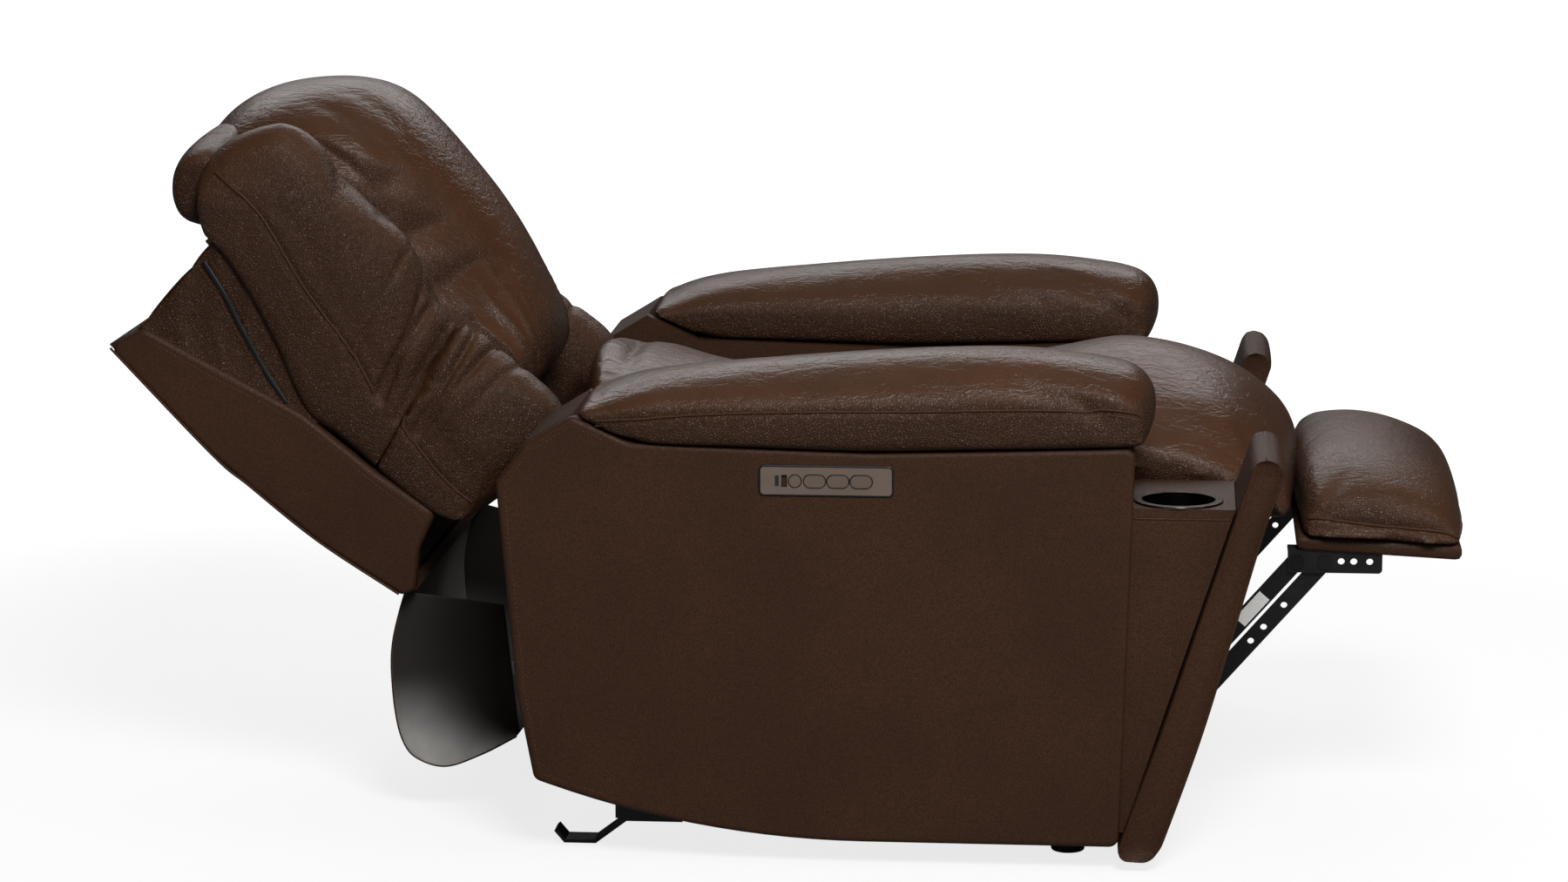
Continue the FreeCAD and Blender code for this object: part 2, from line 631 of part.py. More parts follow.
def back_plate():
    """Steel side plate from the hinge to the top of the back."""
    corners = back((-20, 20, 19), (20, 20, 19), (26, -34, 30), (75, -75, 30), (150, -82, 60),
                   (240, -35, 60), (445, 72), (458, 50), (258, -85, 60), (150, -135, 60),
                   (50, -110, 30), (-20, -20, 19))
    plate = slab(corners, BACK_PLATE_IN, BACK_PLATE_IN + PLATE)
    return drill(plate, [PIVOT], BACK_PIN_RADIUS + FIT)


def back_rails():
    """Three rails between the side plates, and the two arms that carry the headrest."""
    rails = [((140, -125), (170, -95)), ((225, -62), (252, -35)), ((400, 30), (425, 52))]
    solids = []
    for (y0, z0), (y1, z1) in rails:
        (ya, za), (yb, zb) = back((y0, z0), (y1, z1))
        solids.append(box(-BACK_PLATE_IN, BACK_PLATE_IN, ya, yb, za, zb))
    x0, x1 = BACK_ARM_IN, BACK_ARM_IN + HEAD_ARM
    (foot, head) = back((239, -40), HEAD_PIVOT)
    arm = drill(bar((foot, head), 26, x0, x1), [head], 6 + FIT)
    (ya, za), (yb, zb) = back((225, -62), (252, -35))
    arm = arm.cut(box(0, HALF, ya, yb, za - 20, zb))
    return solids + pair(arm)


def lumbar_cushion():
    crown = back((60, -20), (33, 0, 18), (20, 60, 25), (57, 175, 60), from_head(134, 110))
    base = back(from_head(217, 14), from_head(-61, 128))
    half = BACK_ARM_IN - SOFT_GAP
    return padded(crown, -half, half, 11, base)


BOLSTER_JOINT = [(78, 100), (137, -18)]   # where the bolster folds, from front to rear


def upper_bolster():
    front, rear = BOLSTER_JOINT
    crown = back(rear, (*front, 30), (118, 155, 60), from_head(134, 62))
    base = back(from_head(217, 14), from_head(-61, 160))
    return padded(crown, WING_IN, BACK_HALF, 11, base)


def lower_bolster():
    """Two lobes, one on each side of the hinge plates."""
    joint = offset(BOLSTER_JOINT, -SOFT_GAP)
    inner = back((-30, -6, 20), (6, 35, 30), *joint, (110, -60, 20), (92, -66, 12),
                 (68, -38, 12), (34, -32, 8))
    outer = back((48, -6, 10), (34, 50, 20), *joint, (108, -62, 12), (76, -56, 10))
    return [slab(inner, WING_IN, BACK_PLATE_IN - SOFT_GAP),
            slab(outer, PLATE_IN + PLATE + PLATE_PLAY, BACK_HALF)]


LUMBAR_LINE = [(60, -20), from_head(-61, 128)]


def lumbar_frame():
    """Middle of the lumbar cushion's rear face, and the ways along it and out of it."""
    (y0, z0), (y1, z1) = LUMBAR_LINE
    length = math.hypot(y1 - y0, z1 - z0)
    along = ((y1 - y0) / length, (z1 - z0) / length)
    return ((y0 + y1) / 2, (z0 + z1) / 2), along, (-along[1], along[0])


def behind_lumbar(a, d):
    """back() corner at a mm along the cushion's rear face and d mm behind it."""
    (y, z), along, out = lumbar_frame()
    return (y + along[0] * a - out[0] * d, z + along[1] * a - out[1] * d)


LUMBAR_GAP = LUMBAR_TRAVEL + 1.0
LUMBAR_PLATE = 4.0
STEM = 8.0
STEM_LENGTH = LUMBAR_TRAVEL + 28


def lumbar_plate():
    face, rear = LUMBAR_GAP, LUMBAR_GAP + LUMBAR_PLATE
    plate = slab(back(*[behind_lumbar(a, d) for a, d in
                        ((-50, face), (50, face), (50, rear), (-50, rear))]), -110, 110)
    _, _, out = lumbar_frame()
    (y, z), = back(behind_lumbar(0, rear))
    stem = Part.makeCylinder(STEM, STEM_LENGTH, FreeCAD.Vector(0, y, z),
                             FreeCAD.Vector(0, -out[0], -out[1]))
    return plate.fuse(stem)


def lumbar_guide():
    """Sleeve for the lumbar plate's stem, on a bridge between two rails."""
    near = LUMBAR_GAP + LUMBAR_PLATE + 10
    far = near + 52
    block = slab(back(*[behind_lumbar(a, d) for a, d in
                        ((-16, near), (16, near), (16, far), (-16, far))]), -16, 16)
    bridge = slab(back((158, -95), (170, -95), (225, -52), (225, -40), (218, -40)), -16, 16)
    (y, z), = back(behind_lumbar(0, 0))
    _, _, out = lumbar_frame()
    bore = Part.makeCylinder(STEM + FIT, 150, FreeCAD.Vector(0, y, z),
                             FreeCAD.Vector(0, -out[0], -out[1]))
    return block.fuse(bridge).cut(bore).removeSplitter()


def back_pin():
    return pin(PIVOT, BACK_PLATE_IN, PLATE_IN + PLATE, BACK_PIN_RADIUS)


def crank_pin():
    return rod(CRANK_IN, PLATE_IN + PLATE, CRANK_PIVOT, 2 * PIN_RADIUS)


# ---------------------------------------------------------------- headrest
def head_front():
    """Front face of the headrest board, from its top end down."""
    return offset(HEAD_BOARD, HEAD_BOARD_THICK + SOFT_GAP)[::-1]


def headrest_frame():
    """Board with two arms that turn on the headrest pins."""
    board = slab(back(*strip(HEAD_BOARD, HEAD_BOARD_THICK)), -BACK_HALF + 30, BACK_HALF - 30)
    x0, x1 = HEAD_ARM_IN, HEAD_ARM_IN + HEAD_ARM
    (pivot, end) = back(HEAD_PIVOT, (322, 130))
    arm = drill(bar((pivot, end), 24, x0, x1), [pivot], 6)
    arm = arm.cut(slab(back(*[(y + 60, z - 40) for y, z in HEAD_BOARD], *HEAD_BOARD[::-1]),
                       x0, x1))
    journal = pin(pivot, x0, BACK_ARM_IN + HEAD_ARM, 6)
    return board.fuse([arm, mirrored(arm), journal, mirrored(journal)]).removeSplitter()


def headrest_cushion():
    crown = back(from_head(107, 128), (188, 356, 50), (265, 390, 80), (378, 364, 60),
                 (447, 288, 24), (437, 225))
    base = back(*head_front(), from_head(32, 14))
    return padded(crown, -PILLOW_HALF, PILLOW_HALF, 10, base)


def headrest_wing():
    crown = back(from_head(107, 86), (219, 285, 60), (292, 347, 60), (366, 325, 24),
                 (393, 300, 14), (388, 222))
    base = back(*head_front(), from_head(32, 14))
    return padded(crown, WING_IN, BACK_HALF, 10, base)


def headrest_gusset():
    """Zipped cover that closes the opening between headrest and back, as one skin."""
    half, thick = BACK_HALF - 6, 1.5
    top, foot = HEAD_BOARD[2], SHELL_FRONT[0]
    path = back((top[0] + 0.5, top[1]), (398, 160), (430, 120), (foot[0], foot[1] + 0.5))
    return slab(strip(path, thick), -half, half)


def rear_skirt():
    """Hanging flap under the back."""
    top, clear = SHELL_REAR[0], 0.9
    path = back((top[0], top[1] - clear), (170, -320), (166, -395), (142, -430), (105, -440),
                (60, -424), (19, -402))
    return slab(strip(path[::-1], 2.0), -ARM_IN + 5, ARM_IN - 5)


# ---------------------------------------------------------------- files
def main():
    os.makedirs("parts", exist_ok=True)
    names = {-1: "right", 1: "left"}
    for part, shape in (("side_panel", side_panel()), ("arm_pad", arm_pad()),
                        ("front_post", front_post()), ("cup_block", cup_block()),
                        ("cup_holder", cup_holder())):
        for side in SIDES:
            one = shape if side == 1 else mirrored(shape)
            if part == "side_panel" and side == -1:
                one = one.cut(box(-HALF - 1, -HALF + BOARD + 1, *control_cavity()))
            save(f"{part}_{names[side]}", one)
    save("inner_panels", pair(inner_panel()))
    boards = arm_boards()
    control_way = box(-HALF, -HALF + BOX_DEPTH + 2, *control_cavity(2))
    save("arm_boards", boards, [mirrored(b).cut(control_way) for b in boards])
    save("base_rails", pair(base_rail()))
    save("base_cross_tubes", [cross_tube(y) for y in UPRIGHTS_Y])
    save("base_uprights", [s for y in UPRIGHTS_Y for s in pair(upright(y))])
    save("rear_legs", pair(rear_leg()))
    save("front_glides", pair(glide()))
    save("mechanism_plates", pair(mechanism_plate()))
    save("seat_frame", seat_frame())
    pitch = 2 * OUTER_SPRING / (SPRING_COUNT - 1)
    save("seat_springs", [seat_spring(i * pitch - OUTER_SPRING) for i in range(SPRING_COUNT)])
    save("seat_cushion", seat_cushion())
    save("hinge_pins", pair(back_pin()), pair(crank_pin()))
    save("control_plate", control_plate())
    save("control_box", control_box())
    save("usb_port", usb_port())
    save("indicator_light", indicator_light())
    save("home_button", home_button())
    for name in ROCKERS:
        save(name, rocker(name))
    for name in ACTUATORS:
        save(f"{name}_motor", motor(name))
        save(f"{name}_motor_track", track(name))
        save(f"{name}_slide_block", slide_block(name))
    save("power_inlet", power_inlet())
    save("footrest_crank", crank())
    save("crank_rivets", crank_rivets())
    save("lower_links", pair(link(0, FIT)))
    save("upper_links", pair(link(1, OPEN_PIVOT_PLAY)))
    save("blank_label", blank_label())
    save("footrest_brackets", pair(bracket()))
    save("footrest_rivets", foot_rivets())
    save("footrest_board", footrest_board())
    save("footrest_cushion", footrest_cushion())
    save("back_shell_sides", pair(shell_side()))
    save("back_shell_rear", shell_rear())
    save("back_side_plates", pair(back_plate()))
    save("back_rails", back_rails())
    save("lumbar_cushion", lumbar_cushion())
    save("upper_bolsters", pair(upper_bolster()))
    save("lower_bolsters", [s for lobe in lower_bolster() for s in pair(lobe)])
    save("lumbar_plate", lumbar_plate())
    save("lumbar_guide", lumbar_guide())
    save("headrest_frame", headrest_frame())
    save("headrest_cushion", headrest_cushion())
    save("headrest_wings", pair(headrest_wing()))
    save("headrest_gusset", headrest_gusset())
    save("rear_skirt", rear_skirt())


main()
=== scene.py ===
# %% [markdown]
# # A powered recliner armchair
# The chair stands reclined with its footrest out. The CAD model already holds every steel
# link, board, motor and button at its true size. What is left to make here is what makes
# leather furniture look like furniture: stuffed cushions, wrapped panels, seams and finishes.

# %% Load the CAD model as the fixed frame
import json

import bmesh
import bpy
import numpy as np
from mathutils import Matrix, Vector


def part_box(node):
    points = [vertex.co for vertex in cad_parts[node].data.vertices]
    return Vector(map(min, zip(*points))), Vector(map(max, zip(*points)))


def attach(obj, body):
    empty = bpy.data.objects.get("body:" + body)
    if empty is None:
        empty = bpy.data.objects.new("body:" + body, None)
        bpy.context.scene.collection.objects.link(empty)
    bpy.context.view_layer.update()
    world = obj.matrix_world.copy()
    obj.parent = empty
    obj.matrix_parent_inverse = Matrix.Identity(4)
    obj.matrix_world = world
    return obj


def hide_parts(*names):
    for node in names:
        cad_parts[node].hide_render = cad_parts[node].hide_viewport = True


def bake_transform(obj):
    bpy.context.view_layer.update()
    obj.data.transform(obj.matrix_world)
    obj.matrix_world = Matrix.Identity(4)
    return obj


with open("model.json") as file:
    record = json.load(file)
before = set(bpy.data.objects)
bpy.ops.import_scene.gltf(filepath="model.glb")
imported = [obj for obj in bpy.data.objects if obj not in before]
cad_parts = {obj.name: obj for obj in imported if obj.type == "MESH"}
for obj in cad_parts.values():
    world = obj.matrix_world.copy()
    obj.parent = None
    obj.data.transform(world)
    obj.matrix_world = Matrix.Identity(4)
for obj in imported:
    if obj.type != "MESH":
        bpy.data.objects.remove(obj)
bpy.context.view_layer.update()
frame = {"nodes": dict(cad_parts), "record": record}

# %% [markdown]
# ## Working units
# Upholstery is measured in millimetres along stations that start at the front bottom corner
# of the side panels, 403 mm ahead of the model's origin. Shapes are written in those numbers
# and turned into metres once, when they become a mesh.

# %% Stations to metres
ORIGIN_STATION = 403.0


def metres(points):
    """(x, y, z) in millimetres of station to metres: subtract the origin's y, divide by 1000."""
    return (np.asarray(points, float) - (0.0, ORIGIN_STATION, 0.0)) / 1000.0


def curve(points, count, closed=False):
    """count points, evenly spaced by length, on a smooth line through the given ones.

    Catmull-Rom: on each span, the cubic whose end slopes are half the step between the
    neighbours of that end. A closed line gets its neighbours from the other end.
    """
    p = np.asarray(points, float)
    ends = (p[-1:], p[:2]) if closed else (2 * p[:1] - p[1:2], 2 * p[-1:] - p[-2:-1])
    p = np.vstack([ends[0], p, ends[1]])
    t = np.linspace(0, len(p) - 3, 40 * len(p))
    i = np.minimum(t.astype(int), len(p) - 4)
    f = (t - i)[:, None]
    a, b, c, d = p[i], p[i + 1], p[i + 2], p[i + 3]
    q = b + 0.5 * f * (c - a + f * (2 * a - 5 * b + 4 * c - d + f * (3 * (b - c) + d - a)))
    return evenly(q, count)


def evenly(q, count):
    """The same line with count points, spaced evenly by the length walked along it."""
    s = np.r_[0, np.cumsum(np.linalg.norm(np.diff(q, axis=0), axis=1))]
    want = np.linspace(0, s[-1], count)
    return np.stack([np.interp(want, s, q[:, k]) for k in range(q.shape[1])], axis=1)


def unit(v):
    """Each vector divided by its own length."""
    return v / np.maximum(np.linalg.norm(v, axis=-1, keepdims=True), 1e-12)


def at_x(x, line):
    """The (y, z) line as points in the plane of one x."""
    return np.column_stack([np.full(len(line), float(x)), line])


print("Front bottom corner of the right panel, metres:", metres((-500, 0, 29)))

# %% [markdown]
# ## Meshes from grids
# Every new surface here is a grid of points: one direction runs along the piece and the
# other runs round it. Whole arrays are worked out at once, and the faces follow from the
# grid's row and column numbers.

# %% Grid to mesh


def add_mesh(name, points, faces, material):
    """Smooth-shaded object with the given points (metres), faces and material."""
    mesh = bpy.data.meshes.new(name)
    mesh.from_pydata(points.reshape(-1, 3), [], faces)
    mesh.materials.append(material)
    mesh.polygons.foreach_set("use_smooth", np.ones(len(mesh.polygons), bool))
    obj = bpy.data.objects.new(name, mesh)
    bpy.context.scene.collection.objects.link(obj)
    return obj


def grid_faces(rows, columns, closed):
    """Quads between neighbouring rows and columns; a closed grid joins its last column to the first."""
    r = np.arange(rows - 1)[:, None]
    c = np.arange(columns if closed else columns - 1)[None, :]
    n = (c + 1) % columns
    quads = np.stack([r * columns + c, r * columns + n,
                      (r + 1) * columns + n, (r + 1) * columns + c], axis=-1)
    return quads.reshape(-1, 4)


def outwards(obj):
    """Merges doubles and turns every face of a closed mesh outwards."""
    bm = bmesh.new()
    bm.from_mesh(obj.data)
    bmesh.ops.remove_doubles(bm, verts=bm.verts, dist=1e-6)
    bmesh.ops.recalc_face_normals(bm, faces=bm.faces)
    bm.to_mesh(obj.data)
    bm.free()
    return obj


def skin(name, points, material, solid=True):
    """Mesh over a grid of points. A solid one is joined round and has a flat face at each end."""
    rows, columns = points.shape[:2]
    faces = grid_faces(rows, columns, solid).tolist()
    if solid:
        faces += [list(range(columns)), list(range((rows - 1) * columns, rows * columns))]
    obj = add_mesh(name, metres(points), faces, material)
    return outwards(obj) if solid else obj


def coordinates(obj):
    """All vertex positions as one array of rows, metres."""
    co = np.empty(len(obj.data.vertices) * 3)
    obj.data.vertices.foreach_get("co", co)
    return co.reshape(-1, 3)


def normals(obj):
    """All vertex normals as one array of rows."""
    n = np.empty(len(obj.data.vertices) * 3)
    obj.data.vertex_normals.foreach_get("vector", n)
    return n.reshape(-1, 3)


def place(obj, points):
    """Moves every vertex to its row of the array, metres."""
    obj.data.vertices.foreach_set("co", np.asarray(points, float).ravel())
    obj.data.update()


def mirrored(obj):
    """The piece on the right side: x changes sign, and each face is walked the other way."""
    other = bpy.data.objects.new(obj.name.replace("left", "right"), obj.data.copy())
    bpy.context.scene.collection.objects.link(other)
    place(other, coordinates(obj) * (-1, 1, 1))
    other.data.flip_normals()
    return other


print("A 3 by 4 grid has", len(grid_faces(3, 4, False)), "faces, closed", len(grid_faces(3, 4, True)))

# %% [markdown]
# ## Lofted cushions
# A stuffed piece is easiest to describe by two side-view lines, one along its underside and
# one along its crown, and by its section across. At each station the section's height of 0
# lies on the base line and 1 on the crown line, so the cushion follows both lines exactly.

# %% Loft between a base line and a crown line


def loft(base, crown, sections, places, along=110, around=96):
    """Grid of points: x from the section, and (y, z) = base + height * (crown - base).

    sections are closed loops of (x, height) at the given places, 0 to 1 along the piece,
    mixed between places by a share that eases in and out (3 f^2 - 2 f^3).
    """
    b, c = curve(base, along), curve(crown, along)
    loops = np.stack([curve(s, around + 1, closed=True)[:-1] for s in sections])
    k = np.interp(np.linspace(0, 1, along), places, np.arange(len(places)))
    i = np.minimum(k.astype(int), len(places) - 2)
    f = (k - i)[:, None, None]
    f = f * f * (3 - 2 * f)
    ring = loops[i] * (1 - f) + loops[i + 1] * f
    yz = b[:, None] + ring[..., 1:] * (c - b)[:, None]
    return np.concatenate([ring[..., :1], yz], axis=2)


def line_on(base, crown, x, height, along=110):
    """Line along a loft at a fixed x and a fixed height between the base (0) and crown (1) lines."""
    b, c = curve(base, along), curve(crown, along)
    return at_x(x, b + height * (c - b))


bend = curve([(0, 0), (100, 0), (100, 100)], 50)
print("A curve round the corner of a 100 mm square has its middle at", bend[25].round(1))

# %% [markdown]
# ## Outlines of flat pieces
# A wrapped board is given by the corners of its side view and the radius at each corner. The
# same outline moved inwards gives the rings of its soft rim, and the lines of its stitching.

# %% Rounded outlines


def rounded(corners, step=3.0):
    """Closed outline through (y, z, radius) corners, each replaced by an arc, spaced evenly."""
    c = np.array([k[:2] for k in corners], float)
    before, after = unit(np.roll(c, 1, 0) - c), unit(np.roll(c, -1, 0) - c)
    points = []
    for k, (corner, a, b) in enumerate(zip(c, before, after)):
        r = corners[k][2]
        half = np.arccos(np.clip(a @ b, -1, 1)) / 2
        centre = corner + unit(a + b) * r / np.sin(half)
        start = corner + a * r / np.tan(half) - centre
        end = corner + b * r / np.tan(half) - centre
        turn = np.linspace(0, 1, 14)[:, None]
        points.append(centre + r * unit(start * (1 - turn) + end * turn))
    line = np.vstack(points + [points[0][:1]])
    count = int(np.linalg.norm(np.diff(line, axis=0), axis=1).sum() / step)
    return evenly(line, count + 1)[:-1]


def inset(loop, distance):
    """Loop moved inwards: each point goes distance along the normal of its two neighbours' chord."""
    chord = unit(np.roll(loop, -1, 0) - np.roll(loop, 1, 0))
    area = np.sum(loop[:, 0] * np.roll(loop[:, 1], -1) - np.roll(loop[:, 0], -1) * loop[:, 1])
    normal = np.column_stack([-chord[:, 1], chord[:, 0]]) * np.sign(area)
    return loop + normal * distance


plate_corners = [(0, 0, 5), (100, 0, 5), (100, 50, 5), (0, 50, 5)]
print("A 100 by 50 plate with 5 mm corners has", len(rounded(plate_corners)), "points round it")

# %% [markdown]
# ## Stuffing
# Real cushions are leather bags pushed out by foam, so the cover is stretched tight over the
# middle and puckers where it is sewn down. Blender's Cloth with pressure does the same. The
# loft is remeshed into even squares, blown up for twenty frames with gravity off, and each
# point's travel is capped. Where the cover is sewn or rests on a board, points are held.
# Wadding then rounds off the sharpest creases.

# %% Blow up a cushion
FRAMES, PRESSURE, STIFFNESS = 20, 4.0, 12.0


def evaluated(obj):
    """Replaces the object's mesh by what its modifiers make of it."""
    graph = bpy.context.evaluated_depsgraph_get()
    mesh = bpy.data.meshes.new_from_object(obj.evaluated_get(graph))
    obj.modifiers.clear()
    obj.data = mesh
    return obj


def remeshed(obj, size):
    """Same shape in even squares of the given size, millimetres."""
    m = obj.modifiers.new("even squares", "REMESH")
    m.mode, m.voxel_size, m.use_smooth_shade = "VOXEL", size / 1000, True
    return evaluated(obj)


def subdivided(obj):
    """Every face split in four and rounded, once."""
    m = obj.modifiers.new("finer", "SUBSURF")
    m.levels = m.render_levels = 1
    return evaluated(obj)


def thickened(obj, millimetres, lining=0):
    """Gives a sheet its thickness, half to each side. lining is the step to its back's material."""
    m = obj.modifiers.new("thickness", "SOLIDIFY")
    m.thickness, m.offset, m.material_offset = millimetres / 1000, 0.0, lining
    return evaluated(obj)


def stuffed(obj, size, cap, held, slack=6.0, ease=0.0, rounds=2):
    """Blows the cover up. held(x, y, z) gives 1 where the cover is sewn down, else 0.

    A point ends at start + travel, its travel shortened to cap millimetres where longer.
    The cover starts slack millimetres inside the loft, and is cut ease larger than it. Wadding
    under the cover softens its creases by that many rounds of smoothing.
    """
    remeshed(obj, size)
    start = coordinates(obj)
    mm = start * 1000 + (0, ORIGIN_STATION, 0)
    hold = np.clip(held(*mm.T), 0, 1)
    start = start - normals(obj) * (slack / 1000 * (1 - hold))[:, None]
    place(obj, start)
    group = obj.vertex_groups.new(name="sewn")
    for level in (1.0, 0.5):
        chosen = np.flatnonzero(np.abs(hold - level) < 0.25)
        group.add(chosen.tolist(), level, "REPLACE")
    cloth = obj.modifiers.new("stuffing", "CLOTH")
    s = cloth.settings
    s.quality, s.mass, s.pin_stiffness = 4, 0.35, 1.0
    s.tension_stiffness = s.compression_stiffness = STIFFNESS
    s.shear_stiffness, s.bending_stiffness = STIFFNESS / 3, 0.6
    s.use_pressure, s.uniform_pressure_force = True, PRESSURE
    s.shrink_min = s.shrink_max = -ease
    s.vertex_group_mass = "sewn"
    s.effector_weights.gravity = 0.0
    cloth.collision_settings.use_collision = False
    cloth.point_cache.frame_start, cloth.point_cache.frame_end = 1, FRAMES
    for step in range(1, FRAMES + 1):
        bpy.context.scene.frame_set(step)
    graph = bpy.context.evaluated_depsgraph_get()
    blown = obj.evaluated_get(graph).to_mesh()
    end = np.empty(len(blown.vertices) * 3)
    blown.vertices.foreach_get("co", end)
    obj.evaluated_get(graph).to_mesh_clear()
    obj.modifiers.clear()
    obj.vertex_groups.clear()
    bpy.context.scene.frame_set(1)
    travel = end.reshape(-1, 3) - start
    length = np.linalg.norm(travel, axis=1, keepdims=True)
    travel *= np.minimum(1, cap / 1000 / np.maximum(length, 1e-9))
    place(obj, start + travel)
    print(obj.name, "moved up to", round(float(length.max()) * 1000, 1), "mm, mean",
          round(float(length.mean()) * 1000, 1), "on", len(start), "points")
    soften = obj.modifiers.new("wadding", "SMOOTH")
    soften.factor, soften.iterations = 0.5, rounds
    evaluated(obj)
    subdivided(obj)
    obj.data.polygons.foreach_set("use_smooth", np.ones(len(obj.data.polygons), bool))
    return obj


print("Covers are blown up over", FRAMES, "frames")

# %% [markdown]
# ## Seams, pleats and stitches
# A seam is three things: a groove where the cover is pulled down, a thin welt or lap beside
# it, and a row of stitches. The groove is a dent in the cushion whose depth fades with the
# distance from the seam line, and the welt and stitches are small meshes laid on the cover.

# %% Dents along lines


def distance_to(points, path):
    """Each point's distance to the nearest point of a closely spaced path, and which one."""
    best, which = [], []
    for chunk in np.array_split(points, max(1, len(points) // 4000)):
        d = np.linalg.norm(chunk[:, None] - path[None], axis=2)
        which.append(d.argmin(axis=1))
        best.append(d.min(axis=1))
    return np.concatenate(best), np.concatenate(which)


def dent(obj, path, depth, width):
    """Moves the cover inwards by depth * exp(-(distance / width)^2) beside a line."""
    p, n = coordinates(obj), normals(obj)
    path = metres(evenly(np.asarray(path, float), 400))
    near = (p > path.min(0) - 0.06).all(1) & (p < path.max(0) + 0.06).all(1)
    d, _ = distance_to(p[near], path)
    move = np.zeros(len(p))
    move[near] = depth / 1000 * np.exp(-(d * 1000 / width) ** 2)
    place(obj, p - n * move[:, None])


def ripple(obj, weight, phase, depth):
    """Pleats: the cover moves out by depth * weight * (the cosine of the phase, peaks sharpened)."""
    p, n = coordinates(obj), normals(obj)
    x, y, z = (p * 1000 + (0, ORIGIN_STATION, 0)).T
    wave = 1 - 2 * np.abs(np.sin(phase(x, y, z) / 2)) ** 0.7
    place(obj, p + n * (depth / 1000 * weight(x, y, z) * wave)[:, None])


def fade(value, start, end):
    """0 at start, 1 at end, easing at both."""
    f = np.clip((value - start) / (end - start), 0, 1)
    return f * f * (3 - 2 * f)


def laid(obj, path, count):
    """The path laid on the cover: points, and the cover's smoothed normals there.

    Each point is moved along the nearest vertex's normal until it is level with it.
    """
    q = metres(evenly(np.asarray(path, float), count))
    p, n = coordinates(obj), normals(obj)
    near = (p > q.min(0) - 0.05).all(1) & (p < q.max(0) + 0.05).all(1)
    p, n = p[near], n[near]
    which = distance_to(q, p)[1]
    up = n[which]
    kernel = np.hanning(9) / np.hanning(9).sum()
    padded_up = np.pad(up, ((4, 4), (0, 0)), mode="edge")
    up = unit(np.stack([np.convolve(padded_up[:, k], kernel, "valid") for k in range(3)], 1))
    height = np.einsum("ij,ij->i", p[which] - q, up)
    height = np.convolve(np.pad(height, 4, mode="edge"), kernel, "valid")
    return q + up * height[:, None], up


def tube(name, path, up, radius, material, sides=8, flat=1.0):
    """Round cord along a path: a ring of points at each step, in the plane of up and across.

    Ring point = centre + radius * (cos a * across + flat * sin a * up).
    """
    along = unit(np.gradient(path, axis=0))
    across = unit(np.cross(along, up))
    a = np.linspace(0, 2 * np.pi, sides, endpoint=False)[None, :, None]
    ring = path[:, None] + radius / 1000 * (np.cos(a) * across[:, None] + flat * np.sin(a) * up[:, None])
    faces = grid_faces(len(path), sides, True).tolist()
    faces += [list(range(sides)), list(range((len(path) - 1) * sides, len(path) * sides))]
    return outwards(add_mesh(name, ring, faces, material))


def stitches(name, path, up, pitch, material, length=0.68, radius=0.45, side=0.0):
    """One small spindle for each stitch, laid along the path, pitch millimetres apart.

    A stitch is three rings of five points, the ends thinner than the middle and lower,
    so that each one dips into its holes. side moves the row sideways across the path.
    """
    along = unit(np.gradient(path, axis=0))
    across = unit(np.cross(along, up))
    path = path + across * side / 1000
    count = max(2, int(np.linalg.norm(np.diff(path, axis=0), axis=1).sum() * 1000 / pitch))
    both = evenly(np.hstack([path, unit(up)]), count * 2 + 1)[1::2]
    c, n = both[:, :3], unit(both[:, 3:])
    t = unit(np.gradient(c, axis=0))
    s = unit(np.cross(t, n))
    step = np.array([-0.5, 0, 0.5]) * pitch * length / 1000
    thick = np.array([0.45, 1.0, 0.45]) * radius / 1000
    rise = np.array([-0.25, 0.25, -0.25]) * radius / 1000
    a = np.linspace(0, 2 * np.pi, 5, endpoint=False)
    centre = c[:, None] + t[:, None] * step[None, :, None] + n[:, None] * rise[None, :, None]
    ring = (centre[:, :, None]
            + thick[None, :, None, None] * (np.cos(a)[None, None, :, None] * s[:, None, None]
                                            + np.sin(a)[None, None, :, None] * n[:, None, None]))
    quads = grid_faces(3, 5, True)
    faces = (quads[None] + (np.arange(len(c)) * 15)[:, None, None]).reshape(-1, 4).tolist()
    ends = np.concatenate([np.arange(5)[::-1], np.arange(10, 15)]).reshape(2, 5)
    faces += (ends[None] + (np.arange(len(c)) * 15)[:, None, None]).reshape(-1, 5).tolist()
    return add_mesh(name, ring.reshape(-1, 3), faces, material)


def facing(x, count):
    """The same direction, along x, for each point of a path on a flat side."""
    return np.tile((x, 0.0, 0.0), (count, 1))


def on_side(line, sign):
    """The (x, y, z) line as it is, or mirrored for a sign of -1."""
    return [(sign * x, y, z) for x, y, z in line]


print("A dent is", round(float(np.exp(-1)), 2), "of its depth at one width from the seam")

# %% [markdown]
# ## Leather
# Finished upholstery leather has two scales of relief. Milling gives it a pebble grain about
# two millimetres across with creases between the pebbles, and hand creases a centimetre or
# more long run through that. The grain is one node group, used by every leather with its own
# size, and it gives out a height and a crease mask. Each cushion also carries an attribute,
# strong on its sides and faint on its stretched crown, that scales the relief.

# %% Node group: milled grain


def group_sockets(tree, inputs, outputs):
    """Declares a group's inputs (name, type, default) and outputs (name, type)."""
    for name, kind, value in inputs:
        s = tree.interface.new_socket(name, in_out="INPUT", socket_type=kind)
        if value is not None:
            s.default_value = value
    for name, kind in outputs:
        tree.interface.new_socket(name, in_out="OUTPUT", socket_type=kind)


